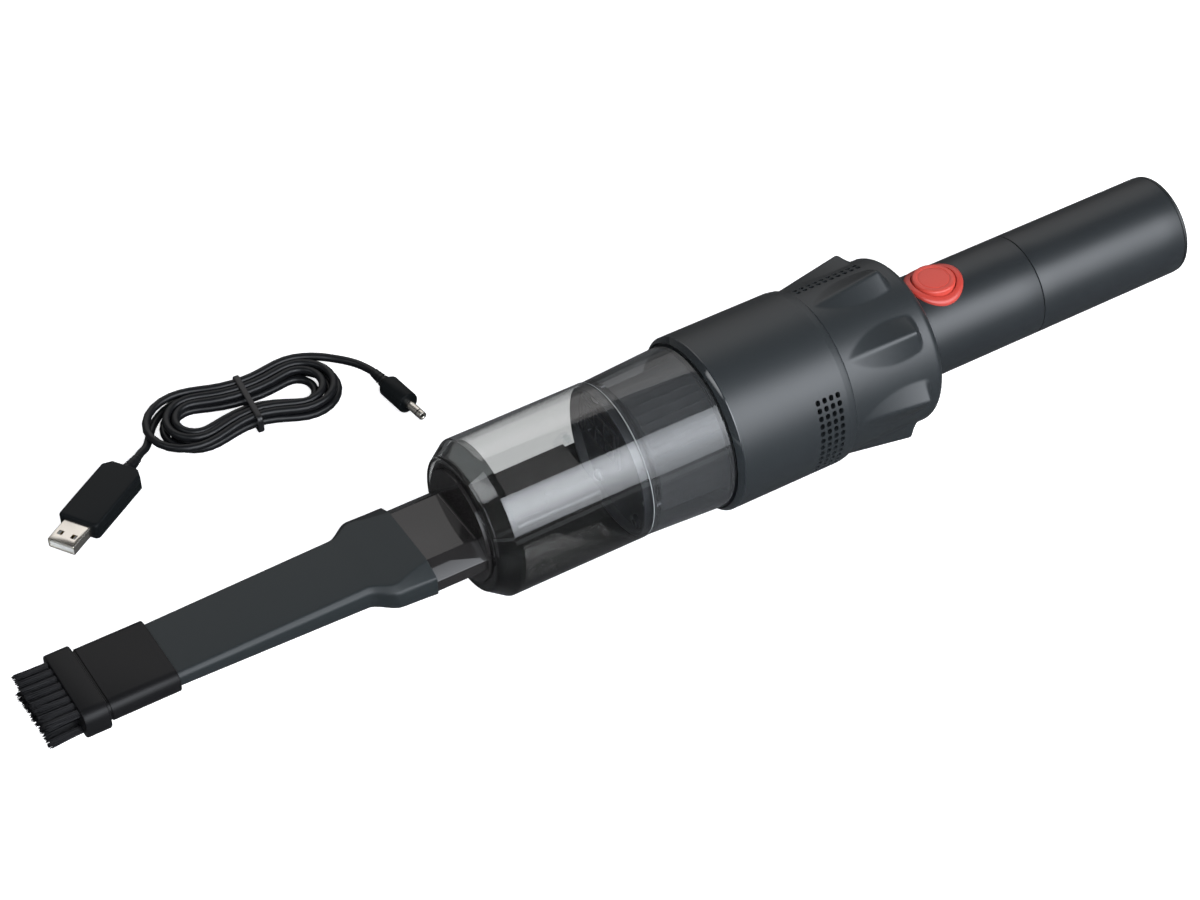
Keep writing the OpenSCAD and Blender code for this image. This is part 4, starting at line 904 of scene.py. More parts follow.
def tufted() -> Recipe:
    """Tree that grows two rows of tufts of strands along -x, which fan out to their tips.

    Returns:
        The tree.
    """
    recipe = Recipe("Tufts of bristle")
    tree = recipe.tree
    (strand,) = recipe.ask("Object", "Strand")
    tufts, each = recipe.ask("Int", "Tufts", "Strands")
    pitch, row_at, root, line = recipe.ask("Float", "Pitch", "Row height", "Root", "Axis height")
    wide, tall = recipe.ask("Float", "Tuft half width", "Tuft half height")
    length, fan = recipe.ask("Float", "Length", "Fan")
    kind = {"data_type": "FLOAT_VECTOR"}

    def chance(who: Wire, seed: int) -> tuple[Wire, Wire, Wire]:
        """Three numbers from -1 to 1, by the number of a strand or a tuft."""
        values = {"Min": (-1, -1, -1), "Max": (1, 1, 1), "ID": who, "Seed": seed}
        return tree.axes(tree.add("FunctionNodeRandomValue", kind, values))

    points = tree.add("GeometryNodeMeshLine", None, {"Count": tufts * each * 2})
    index = tree.add("GeometryNodeInputIndex")
    tuft, own = (index / each).floor(), index % each
    side = 1 - 2 * (tuft / tufts).floor()
    ring, turn = ((own + 0.5) / each) ** 0.5, own * GOLDEN_ANGLE
    across, up = turn.cos() * ring, turn.sin() * ring
    middle = (tuft % tufts - (tufts - 1) * 0.5) * pitch
    y, z = middle + across * wide, side * row_at + up * tall
    luck, group = chance(index, 7), chance(tuft, 3)
    lean_y = fan * (across * 0.25 + middle / pitch * 0.05 + luck[0] * 0.14 + group[0] * 0.34)
    lean_z = fan * (side * 0.3 + up * 0.2 + luck[1] * 0.14 + group[1] * 0.25)
    placed = tree.moved(points, tree.vector(root, y, line + z))
    values = {"Geometry": placed, "Name": "lean", "Value": tree.vector(0.0, lean_y, lean_z)}
    marked = tree.add("GeometryNodeStoreNamedAttribute", {**kind, "domain": "POINT"}, values)
    copy = tree.add("GeometryNodeObjectInfo", None, {0: strand}, "Geometry")
    long = length * (0.93 + 0.07 * luck[2] + 0.02 * group[2])
    stood = tree.copies(marked, copy, {"Scale": tree.vector(long / length, 1.0, 1.0)})
    real = tree.add("GeometryNodeRealizeInstances", None, {0: stood})
    read = tree.add("GeometryNodeInputNamedAttribute", kind, {"Name": "lean"})
    x = tree.axes(tree.add("GeometryNodeInputPosition"))[0]
    out = ((root - x) / length).within(0.0, 1.2)
    bend = out * out * 0.6 + out * 0.4
    amount = tree.add("ShaderNodeVectorMath", {"operation": "SCALE"}, {0: read, "Scale": bend})
    values = {"Geometry": real, "Offset": amount}
    return recipe.close(tree.add("GeometryNodeSetPosition", None, values))


def folded() -> Recipe:
    """Tree that folds a tube of paper into pleats round the body's axis.

    Returns:
        The tree.
    """
    recipe = Recipe("Pleated paper")
    tree = recipe.tree
    folds, deep, line = recipe.ask("Float", "Folds", "Depth", "Axis height")
    x, y, z = tree.axes(tree.add("GeometryNodeInputPosition"))
    z = z - line
    radius = (y * y + z * z) ** 0.5
    wave = (y.maths("ARCTAN2", y, z) * folds).cos() * 0.5 - 0.5
    soft = wave + (x * 420.0 + wave * 2.0).sin() * 0.015
    scale = 1 + deep * soft / radius
    return recipe.close(tree.moved(recipe.given(), tree.vector(x, y * scale, z * scale + line)))


# Studio


@dataclass(frozen=True)
class SoftLamp:
    """Lamp with a soft face, in metres, whose light changes over its height.

    The grade is places up the face, from 0 to 1, and the share of light there. End loss is
    the share that is lost towards both ends.
    """

    name: str
    place: tuple
    aim: tuple
    size: tuple
    glow: float
    tint: tuple
    grade: tuple = ((0.0, 0.4), (0.5, 1.0), (1.0, 0.4))
    end_loss: float = 0.35

    def build(self) -> None:
        """Hangs the lamp."""
        data = bpy.data.lights.new(self.name, "AREA")
        data.shape = "RECTANGLE"
        data.size, data.size_y = self.size
        data.energy = math.pi * self.size[0] * self.size[1]
        tree = cleared(data)
        along, up, _ = tree.axes(tree.add("ShaderNodeNewGeometry", out="Parametric"))
        stops = {"stops": [(at, (share,) * 3) for at, share in self.grade]}
        high = tree.add("ShaderNodeValToRGB", stops, {0: up})
        end = abs(along - 0.5) * 2
        strength = self.glow * high * (1 - self.end_loss * end**4)
        values = {"Color": (*self.tint, 1), "Strength": strength}
        light = tree.add("ShaderNodeEmission", None, values)
        tree.add("ShaderNodeOutputLight", None, {0: light})
        lamp = bpy.data.objects.new(self.name, data)
        turn = (Vector(self.aim) - Vector(self.place)).to_track_quat("-Z", "Y").to_matrix()
        lamp.matrix_world = Matrix.Translation(self.place) @ turn.to_4x4()
        lamp.visible_camera = False
        bpy.context.scene.collection.objects.link(lamp)


@dataclass
class Studio:
    """Camera, soft lamps, pale floor and the room that the gloss shows.

    The key lamp hangs before the body, and weaker ones behind it and at its left. A black card
    of painted shade, seen only through glass, lies under the clear cup's near half, and a pale one
    before the body.
    """

    lens: float = 90.44
    place: tuple = (-417.75, -702.6, 805.1)
    right: tuple = (0.85580729, -0.51669679, -0.02486592)
    up: tuple = (0.36934841, 0.57668453, 0.72870893)
    ahead: tuple = (0.36218177, 0.6328186, -0.68437196)
    lamps: tuple = (
        SoftLamp(
            "key", (0.40, -1.30, 0.81), (0.40, 0, 0.04), (2.9, 1.62), 6.9, (0.93, 0.97, 1.03),
            ((0.0, 0.32), (0.25, 0.55), (0.55, 1.0), (0.8, 0.85), (1.0, 0.4)),
        ),
        SoftLamp(
            "back", (0.60, 1.4, 1.05), (0, 0, 0.04), (2.4, 1.5), 1.2, (1, 0.98, 0.97),
            ((0.0, 0.25), (0.5, 0.6), (0.8, 1.0), (1.0, 0.9)),
        ),
        SoftLamp("left", (-1.45, 0.0, 1.38), (0, 0, 0.04), (1.1, 0.5), 3.7, (0.95, 0.98, 1.0)),
    )
    room_low: float = 0.25
    room_drop: float = 0.17
    room_top: float = 0.9
    floor_half: float = 3000.0
    floor_z: float = -0.2
    floor_tones: tuple = (0.84, 0.87)
    floor_glow: float = 0.72
    floor_dim: float = 0.88
    card_z: float = 0.1
    # Black card of painted shade under the cup: a dark sheet seen only through the clear walls
    painted_shade_box: tuple = (-140.0, -110.0, 90.0, 52.0)
    painted_shade_glow: float = 0.004
    pale_box: tuple = (-900.0, -1250.0, 1600.0, -330.0)
    pale_glow: float = 0.75

    def camera(self) -> None:
        """Sets the camera at the photograph's place."""
        data = bpy.data.cameras.new("camera")
        data.lens = self.lens
        data.sensor_width = 36.0
        data.clip_end = 50
        camera = bpy.data.objects.new("camera", data)
        turn = Matrix((self.right, self.up, [-v for v in self.ahead])).transposed()
        camera.matrix_world = Matrix.Translation(Vector(self.place) * MM) @ turn.to_4x4()
        bpy.context.scene.collection.objects.link(camera)
        bpy.context.scene.camera = camera

    def world(self) -> None:
        """White to the eye and through glass; dim overhead and paler low down to gloss."""
        world = bpy.data.worlds.new("room")
        bpy.context.scene.world = world
        tree = cleared(world)
        height = tree.axes(tree.add("ShaderNodeTexCoord", out="Generated"))[2]
        pale = self.room_low - self.room_drop * height.within(0.0, self.room_top) / self.room_top
        seen = straight_sight(tree)
        values = {"Strength": pale * (1 - seen) + seen}
        light = tree.add("ShaderNodeBackground", None, values)
        tree.add("ShaderNodeOutputWorld", None, {0: light})

    def sheet(self, name: str, box: Point, height: float, finish: str) -> tuple:
        """Lays a flat sheet.

        Args:
            name: its name.
            box: its least x and y, and its greatest.
            height: its height.
            finish: name of its material.
        Returns:
            The sheet, and its material's empty tree.
        """
        x0, y0, x1, y1 = box
        corners = [(x0, y0), (x1, y0), (x1, y1), (x0, y1)]
        mesh = bpy.data.meshes.new(name)
        points = [(x * MM, y * MM, height * MM) for x, y in corners]
        mesh.from_pydata(points, [], [(0, 1, 2, 3)])
        obj = bpy.data.objects.new(name, mesh)
        bpy.context.scene.collection.objects.link(obj)
        material = bpy.data.materials.new(finish)
        mesh.materials.append(material)
        return obj, cleared(material)

    def floor(self) -> None:
        """Lays a white floor that keeps the shadow and that the gloss shows dim."""
        half = self.floor_half
        tree = self.sheet("floor", (-half, -half, half, half), self.floor_z, "floor_white")[1]
        grain = tree.noise(tree.add("ShaderNodeTexCoord", out="Object"), 40.0)
        low, high = ((tone, tone, tone, 1) for tone in self.floor_tones)
        colour = tree.mix(grain, low, high)
        gloss = tree.add("ShaderNodeLightPath", out="Is Glossy Ray") * self.floor_dim
        colour = tree.mix(gloss, colour, (0.0, 0.0, 0.0, 1))
        matt = tree.add("ShaderNodeBsdfDiffuse", None, {"Color": colour})
        strength = straight_sight(tree) * self.floor_glow
        glow = tree.add("ShaderNodeEmission", None, {"Strength": strength})
        both = tree.add("ShaderNodeAddShader", None, {0: matt, 1: glow})
        tree.add("ShaderNodeOutputMaterial", None, {"Surface": both})

    def card(self, name: str, box: Point, glow: float) -> bpy.types.Object:
        """Lays a card that neither the camera sees nor the floor feels.

        Args:
            name: its name.
            box: its least x and y, and its greatest.
            glow: its radiance, near 0 for the black card that paints shade.
        Returns:
            The card.
        """
        obj, tree = self.sheet(name, box, self.card_z, name)
        cloth = tree.noise(tree.add("ShaderNodeTexCoord", out="Object"), 3.0)
        values = {"Color": (0.93, 0.97, 1.0, 1), "Strength": (cloth * 0.2 + 0.9) * glow}
        light = tree.add("ShaderNodeEmission", None, values)
        tree.add("ShaderNodeOutputMaterial", None, {"Surface": light})
        obj.visible_camera = obj.visible_diffuse = obj.visible_shadow = False
        return obj

    def build(self) -> None:
        """Sets the whole studio."""
        self.camera()
        for lamp in self.lamps:
            lamp.build()
        self.world()
        self.floor()
        # Painted shade: only rays through the clear cup see this dark card, which stands for the
        # shadowed floor under it
        self.card("black_card", self.painted_shade_box, self.painted_shade_glow).visible_glossy = False
        self.card("pale_card", self.pale_box, self.pale_glow).visible_transmission = False
        bpy.context.scene.view_settings.view_transform = "Standard"


# Charging lead


@dataclass
class ChargingLead:
    """Lead with a hank tied at its waist, a plug in a converter case and a round plug."""

    diameter: float = 3.3
    hank_at: tuple = (-97.5, 136.0)
    hank_turn: float = -6.0
    lobe_at: float = 21.8
    lobe_r: float = 17.6
    waist: float = 12.1
    loop_step: float = 3.75
    layer_rise: float = 3.8
    tie_lift: float = 1.0
    tie_reach: float = 9.0
    tie_low: float = 0.35
    tie_gap: float = 0.5
    tie_half: float = 1.15
    tie_wall: float = 0.6
    loops: int = 5
    rings: int = 48
    leave_left: float = 150.0
    leave_right: float = 50.0
    climb: float = 0.5
    slack: dict = field(default_factory=lambda: {(-1, 5): 5.0, (1, 3): -2.4, (1, 4): -1.0})
    usb_from: tuple = (-148.0, 131.4, 4.0)
    usb_points: tuple = ((-145.6, 133.4, 4.0), (-141.5, 136.6, 3.2))
    usb_turn: float = 213.0
    dc_points: tuple = ((-55.5, 140.6, 4.4), (-50.3, 134.5, 4.2), (-47.6, 128.5, 4.3))
    dc_from: tuple = (-46.9, 125.4, 4.5)
    dc_turn: float = -83.0
    relief_len: float = 8.0
    relief_thin: float = 1.8
    usb_relief_r: float = 3.2
    dc_relief_len: float = 8.5
    dc_relief_r: float = 3.1
    ribs: int = 4
    rib: float = 0.62
    case: tuple = (34.0, 17.6, 7.6)
    case_corner: float = 3.0
    case_edge: float = 1.1
    shell: tuple = (11.5, 12.0, 4.5)
    shell_skin: float = 0.4
    shell_corner: float = 0.7
    shell_hole: float = 2.3
    tongue_t: float = 1.9
    contact: tuple = (1.1, 0.16)
    contact_pitch: float = 2.4
    plug_len: float = 15.5
    plug_r: float = 4.5
    barrel_len: float = 9.8
    barrel_r: float = 1.75
    barrel_bore: float = 0.75
    band_at: tuple = (6.9, 7.4)
    band_rise: float = 0.02

    def hank(self) -> list:
        """Lays the hank, spiralling in on the ground and out again on top.

        Returns:
            Its points.
        """
        wide, waist, lobe = self.lobe_at, self.waist, self.lobe_r
        waist_r = (wide**2 + waist**2 - lobe**2) / (2 * (lobe - waist))
        turn = math.degrees(math.atan2(waist + waist_r, -wide))
        lobe_arc, waist_arc = turn * lobe, (turn - 90) * waist_r
        whole = 2 * (lobe_arc + waist_arc)

        def loop(u: float, inset: float) -> tuple[float, float]:
            """Finds a point of a loop.

            Args:
                u: loops gone, whose part beyond the last whole one is the way round.
                inset: how far the loop lies inside the outer one.
            Returns:
                Its x and y from the middle.
            """
            s = (u - math.floor(u)) * whole
            side = 1 if s < whole / 2 else -1
            h = s if s < whole / 2 else s - whole / 2
            if h < lobe_arc:
                a = math.radians(turn - 2 * turn * h / lobe_arc)
                swell = self.slack.get((side, math.floor(u)), 0.0)
                r = lobe - inset + swell * math.sin(math.pi * h / lobe_arc) ** 2
                return side * (wide + r * math.cos(a)), side * (r * math.sin(a))
            b = math.radians((turn - 90) * (1 - 2 * (h - lobe_arc) / waist_arc))
            r = waist_r + inset
            return side * (r * math.sin(b)), side * (r * math.cos(b) - waist - waist_r)

        leave = (180 + turn - self.leave_left) / (2 * turn) * lobe_arc
        first = (lobe_arc + waist_arc + leave) / whole
        last = (turn - self.leave_right) / (2 * turn) * lobe_arc / whole
        turns = self.loops + (last + 1 - first)
        steps, way = round(turns * self.rings), math.radians(self.hank_turn)
        ct, st = math.cos(way), math.sin(way)
        path = []
        for i in range(steps + 1):
            t, half = turns * i / steps, turns / 2
            px, py = loop(first + t, self.loop_step * (half - abs(t - half)))
            climb = min(1.0, max(0.0, (t - half + self.climb / 2) / self.climb))
            rise = climb * climb * (3 - 2 * climb)
            lift = self.tie_lift * math.exp(-((px / self.tie_reach) ** 2))
            x = self.hank_at[0] + px * ct - py * st
            y = self.hank_at[1] + px * st + py * ct
            path.append((x, y, self.diameter / 2 + self.layer_rise * rise + lift))
        return path

    def run(self, points: Sequence[Point], steps: int = 6) -> list:
        """Draws a rounded way through points.

        Args:
            points: what it goes through.
            steps: parts between two of them.
        Returns:
            The way's points.
        """
        path = []
        p = [np.array(one, float) for one in points]
        for i in range(len(p) - 1):
            a, b, c, d = p[max(i - 1, 0)], p[i], p[i + 1], p[min(i + 2, len(p) - 1)]
            for t in (k / steps for k in range(steps)):
                square, cube = 2 * a - 5 * b + 4 * c - d, 3 * b - a - 3 * c + d
                path.append(0.5 * (2 * b + (c - a) * t + square * t**2 + cube * t**3))
        return path + [p[-1]]

    def path(self) -> list:
        """Joins the hank and both runs, from the converter case to the round plug.

        Returns:
            The points of the whole lead.
        """
        hank = self.hank()
        start = self.run([self.usb_from, *self.usb_points, hank[0], hank[3]])[:-6]
        end = self.run([hank[-4], hank[-1], *self.dc_points, self.dc_from])[6:]
        line = np.array([*start, *hank[1:-1], *end])
        for _ in range(3):
            line[1:-1] = line[1:-1] * 0.5 + (line[:-2] + line[2:]) * 0.25
        return line.tolist()

    def at_end(self, spot: Point, turn: float) -> Matrix:
        """Frame of a piece whose own x points away from the end of the lead."""
        return Matrix.Translation(spot) @ Matrix.Rotation(math.radians(turn), 4, "Z")

    def relief(
        self, ribs: Recipe, node: str, place: Matrix, length: float, thick: float
    ) -> bpy.types.Object:
        """Ribbed strain relief.

        Args:
            ribs: the tree that sets the ribs.
            node: CAD node that it stands for.
            place: its frame, from its thin end.
            length: its length.
            thick: radius of its thick end.
        Returns:
            The piece.
        """
        thin = self.relief_thin
        outline = [(0, 0), (0, thin, 0.3), (length, thick - 0.95), (length, 0)]
        core = Draft().turn(rounded(outline, 3), 40)
        obj = core.piece(node + "_ribs", "lead_black", GROUND)
        sizes = {"Length": length, "Thin radius": thin + 0.05, "Thick radius": thick - 0.45}
        sizes["Rib half width"] = self.rib
        ribs.run(obj, "lead_black", {"Ribs": self.ribs}, sizes)
        obj.data.transform(Matrix.Scale(MM, 4) @ place @ Matrix.Scale(1 / MM, 4))
        return seat(obj, "charging_lead", "lead_black", node)

    def converter(self, place: Matrix) -> bpy.types.Object:
        """Converter case, with a fine seam round its middle.

        Args:
            place: frame of the lead's end.
        Returns:
            The piece.
        """
        length, width, thick = self.case
        cut, start, edge = self.case_corner, self.relief_len, self.case_edge
        half, end = width / 2, start + length
        outline = rounded(
            [
                (start, cut - half, 1.2), (start + cut, -half, 1.2), (end, -half, 1.6),
                (end, half, 1.6), (start + cut, half, 1.2), (start, half - cut, 1.2),
            ],
            4,
        )
        middle = np.mean(np.array(outline), axis=0)
        low = []
        for k in range(5):
            a = math.pi / 2 * k / 4
            low.append((edge * (1 - math.sin(a)), -thick / 2 + edge * (1 - math.cos(a))))
        seam = [(0.0, -0.12), (0.14, 0.0), (0.0, 0.12)]
        sections = []
        for inset, z in [*low, *seam, *[(inset, -z) for inset, z in reversed(low)]]:
            wide, long = 1 - inset / half, 1 - inset / (length / 2)
            ring = [(middle[0] + (x - middle[0]) * long, y * wide) for x, y in outline]
            sections.append((z, ring))
        case = Draft().skin(sections, axis=2)
        names = "converter_case_skin", "lead_case_black", "charging_lead", "converter_case"
        return case.seated(*names, place=place)

    def usb_plug(self, place: Matrix) -> list:
        """Metal plug of the converter, its tongue and the contacts.

        Args:
            place: frame of the lead's end.
        Returns:
            The pieces.
        """
        depth, wide, tall = self.shell
        skin, front = self.shell_skin, self.relief_len + self.case[0]
        end = front + depth
        outer = soft_box(wide, tall, self.shell_corner, 4)
        inner = soft_box(wide - 2 * skin, tall - 2 * skin, self.shell_corner / 2, 4)
        drawn = [(y * 0.985, z * 0.96) for y, z in outer]
        rings = [(front - 1.0, outer), (end - 0.15, outer), (end, drawn)]
        rings += [(end - 0.1, inner), (front + 0.6, inner)]
        metal = Draft().skin(rings).piece("usb_shell_skin", "nickel", place)
        holes, size = Draft(), self.shell_hole
        for side in (-1, 1):
            for level in (-1, 1):
                spot = front + depth / 2 + size / 2, side * wide / 4
                z0 = level * tall / 2
                holes.bar(soft_box(size, size, 0.25, 2, spot), (z0 - 0.6, z0 + 0.6), 2)
        cut_out(metal, holes, place)
        seat(metal, "charging_lead", "nickel", "usb_shell")
        low, thick = skin - tall / 2 + 0.1, self.tongue_t
        section = soft_box(wide - 2 * skin - 0.2, thick, 0.15, 2, (0, low + thick / 2))
        tongue = Draft().bar(section, (front + 0.5, end - 0.5))
        names = "usb_tongue_bar", "tongue_white", "charging_lead", "usb_tongue"
        white = tongue.seated(*names, place=place)
        strips = Draft()
        for i in range(4):
            spot = ((i - 1.5) * self.contact_pitch, low + thick + 0.03)
            strips.bar(soft_box(*self.contact, 0.05, 1, spot), (front + 1.2, end - 1.4))
        names = "usb_contacts", "terminal_brass", "charging_lead"
        return [metal, white, strips.seated(*names, place=place)]

    def round_plug(self, place: Matrix) -> list:
        """Grip and barrel of the round plug, and the ring near the barrel's end.

        Args:
            place: frame of the lead's end.
        Returns:
            The pieces.
        """
        start, r, b, bore = self.dc_relief_len, self.plug_r, self.barrel_r, self.barrel_bore
        front = start + self.plug_len
        end = front + self.barrel_len
        outline = [(start, 0), (start, self.dc_relief_r, 0.4), (start + 2, r, 1.0)]
        outline += [(front, r, 0.6), (front, 0)]
        grip = Draft().turn(rounded(outline, 3), 64)
        outline = [(front - 0.5, 0), (front - 0.5, b), (end, b, 0.25), (end, bore + 0.25, 0.1)]
        outline += [(end - 0.35, bore), (front + 0.5, bore), (front + 0.5, 0)]
        barrel = Draft().turn(rounded(outline, 3), 48)
        near, far = (front + at for at in self.band_at)
        low, high = b - 0.1, b + self.band_rise
        band = [(near, low), (near, high), (far, high), (far, low)]
        ring = Draft().turn(band, 48)
        body, case = "charging_lead", "lead_case_black"
        return [
            grip.seated("plug_grip", case, body, "plug_body", place=place),
            barrel.seated("plug_barrel_skin", "nickel", body, "plug_barrel", place=place),
            ring.seated("plug_ring", case, body, place=place),
        ]

    def tie(self) -> bpy.types.Object:
        """Thin band round the waist of the hank, drawn to the strands.

        Returns:
            The piece.
        """
        wide = 2 * (self.waist + self.diameter / 2 + self.tie_gap)
        low, high = self.tie_low, self.diameter + self.layer_rise + self.tie_lift + 0.3
        tall, walls, half = high - low + 0.5, 2 * self.tie_wall, self.tie_half
        outer = soft_box(wide + walls, tall, 2.4, 6)
        inner = soft_box(wide, tall - walls, 1.8, 6)
        edge = [(y * 0.99, z * 0.96) for y, z in outer]
        rings = [(-half, edge), (0.3 - half, outer), (half - 0.3, outer), (half, edge)]
        rings += [(half - 0.05, inner), (0.05 - half, inner)]
        band = Draft().skin(rings, looped=True)
        place = self.at_end((*self.hank_at, low + tall / 2 - 0.3), self.hank_turn)
        names = "hank_tie", "tie_black", "charging_lead", "lead_tie"
        return band.seated(*names, place=place)

    def build(self) -> None:
        """Builds the lead."""
        path = self.path()
        tube = Draft().tube(path, self.diameter / 2, 14)
        nodes = "lead_usb_run", "lead_hank", "lead_dc_run"
        lead = tube.seated("lead_cord", "lead_black", "charging_lead", *nodes, place=GROUND)
        ribs = ribs_on_taper()
        usb = self.at_end(self.usb_from, self.usb_turn)
        plug = self.at_end(self.dc_from, self.dc_turn)
        parts = [
            self.relief(ribs, "usb_relief", usb, self.relief_len, self.usb_relief_r),
            self.relief(ribs, "plug_relief", plug, self.dc_relief_len, self.dc_relief_r),
            self.converter(usb),
            *self.usb_plug(usb),
            *self.round_plug(plug),
            self.tie(),
        ]
        [[v * MM for v in p] for p in path]


# Handle and switch


@dataclass
class Handle:
    """Two handle tubes with a fine seam, and the cap at the end."""

    end: float = 244.55
    cap_seam: float = 243.05
    tube_seam: float = 173.85
    radius: float = 20.5
    inner: float = 18.8
    lap: float = 5.0
    lap_out: float = 1.0
    lap_in: float = 0.85
    flange: tuple = (112.05, 2.5, 26.0)
    button: float = 134.05
    seam: float = 0.3
    ring_step: tuple = (8.0, 8.5)
    hole_r: float = 10.15
    hole_z: tuple = (12.0, 24.0)
    cap_gap: float = 0.15
    cap_wall: float = 1.7
    cap_plug: float = 4.0
    jack_r: float = 4.3
    lamp_z: float = 8.0
    lamp_r: float = 1.65

    def grip(self) -> None:
        """Front tube, with the hole for the button."""
        r, q, out = self.radius, self.inner, self.radius - self.lap_out
        start, long, flange_r = self.flange
        seam, step = self.tube_seam - self.seam, self.ring_step[0]
        outline = [(start, q), (start, flange_r), (start + long, flange_r), (start + long, r)]
        outline += [(start + long + step * i, r) for i in range(1, 7)]
        outline += [(seam, r, 0.22), (seam, out), (seam + self.lap, out), (seam + self.lap, q)]
        tube = Draft().turn(rounded(outline, 3)).piece("grip_tube_skin", "handle_grey")
        (low, high), wide = self.hole_z, self.hole_r
        hole = Draft().turn([(low, 0), (low, wide), (high, wide), (high, 0)], 64)
        cut_out(tube, hole, BODY_LINE @ Matrix.Translation((self.button, 0, 0)) @ UPRIGHT)
        seat(tube, "body", "handle_grey", "grip_tube")

    def tail(self) -> None:
        """Rear tube, lapped over the front one."""
        r, q, seam, cap = self.radius, self.inner, self.tube_seam, self.cap_seam - self.seam
        outline = [(seam, r - self.lap_in), (seam, r, 0.22)]
        outline += [(seam + self.ring_step[1] * i, r) for i in range(1, 8)]
        outline += [(cap, r, 0.2), (cap, q), (seam + self.lap, q)]
        outline += [(seam + self.lap, r - self.lap_in)]
        tail = Draft().turn(rounded(outline, 3))
        tail.seated("battery_tube_skin", "handle_grey", "body", "battery_tube")

    def lid(self) -> None:
        """Cap, with the charging hole and an eye for the lamp."""
        gap, cap, end, jack = self.cap_gap, self.cap_seam, self.end, self.jack_r
        r, plug, bottom = self.radius - gap, self.inner - gap, cap - self.cap_plug
        inside = plug - self.cap_wall
        outline = [
            (cap, plug), (cap, r, 0.12), (end, r, 0.9), (end, 15.0), (end, jack, 0.25),
            (cap - 0.2, jack - gap), (cap - 0.2, inside), (bottom, inside), (bottom, plug),
        ]
        lid = Draft().turn(rounded(outline, 5)).piece("end_cap_skin", "cap_black")
        deep, eye_r = self.cap_plug, self.lamp_r
        eye = Draft().turn([(-deep, 0), (-deep, eye_r), (deep, eye_r), (deep, 0)], 32)
        cut_out(lid, eye, BODY_LINE @ Matrix.Translation((end, 0, self.lamp_z)))
        seat(lid, "body", "cap_black", "end_cap")

    def build(self) -> None:
        """Builds the tubes and the cap."""
        self.grip()
        self.tail()
        self.lid()


@dataclass
class Switch:
    """Red ring that follows the handle's round, and the push button in it."""

    button: float = 134.05
    tube_r: float = 20.5
    ring_r: float = 11.5
    rise: float = 1.25
    bore_r: float = 8.75
    cap_r: float = 8.5
    top: float = 22.1
    under: float = 17.5
    ring_deep: float = 8.0
    floor: float = 9.5
    floor_t: float = 1.2
    floor_hole: float = 3.2
    stem: tuple = (8.0, 9.2, 3.9, 3.0)
    dent: float = 0.16
    dent_r: float = 6.3

    def ring(self, place: Matrix) -> None:
        """The ring, with soft edges, and its floor in the handle.

        Args:
            place: the switch's frame.
        """
        b, r = self.bore_r, self.ring_r
        raised = [
            (b, -0.65), (b + 0.07, -0.3), (b + 0.22, -0.1), (b + 0.5, 0.0), (r - 1.1, 0.0),
            (r - 0.6, -0.07), (r - 0.25, -0.28), (r - 0.05, -0.6), (r, -1.0),
        ]
        deep = -self.ring_deep
        profile = [(b, 0.0, deep), *[(reach, self.rise, drop) for reach, drop in raised]]
        profile += [(r, 0.0, -0.6), (r, 0.0, deep)]
        rings = []
        for a in (2 * math.pi * i / 128 for i in range(128)):
            ring = []
            for reach, rise, drop in profile:
                y = reach * math.sin(a)
                high = math.sqrt((self.tube_r + rise) ** 2 - y**2) + drop
                ring.append((reach * math.cos(a), y, high))
            rings.append(ring)
        low, high = self.floor, self.floor + self.floor_t
        thin, wide = self.floor_hole, r - 0.4
        disc = Draft().turn([(low, thin), (low, wide), (high, wide), (high, thin)], 64)
        disc.seated("ring_floor", "button_ring_red", "body", place=place @ UPRIGHT)
        ring = Draft().loft(rings, looped=True)
        ring.seated("button_ring", "button_ring_red", "body", "button_bezel", place=place)

    def cap(self, place: Matrix) -> None:
        """The button on its stem, with a faint circle on its top.

        Args:
            place: the switch's frame.
        """
        t, r, (foot, neck, foot_r, neck_r) = self.top, self.cap_r, self.stem
        dent, ring = t - self.dent, self.dent_r
        outline = [
            (foot, 0), (foot, foot_r), (neck, foot_r), (neck, neck_r), (self.under, neck_r),
            (self.under, r), (t, r, 0.9), (t, ring + 0.25, 0.3), (dent, ring, 0.2),
            (dent, ring - 0.3, 0.2), (t - 0.02, ring - 0.6, 0.4), (t + 0.05, 2.5, 2.0),
            (t + 0.07, 0),
        ]
        cap = Draft().turn(rounded(outline, 5), 96)
        cap.seated("button", "button_red", "power_button", "button_cap", place=place @ UPRIGHT)

    def build(self) -> None:
        """Builds both pieces."""
        place = BODY_LINE @ Matrix.Translation((self.button, 0, 0))
        self.ring(place)
        self.cap(place)


# Motor housing


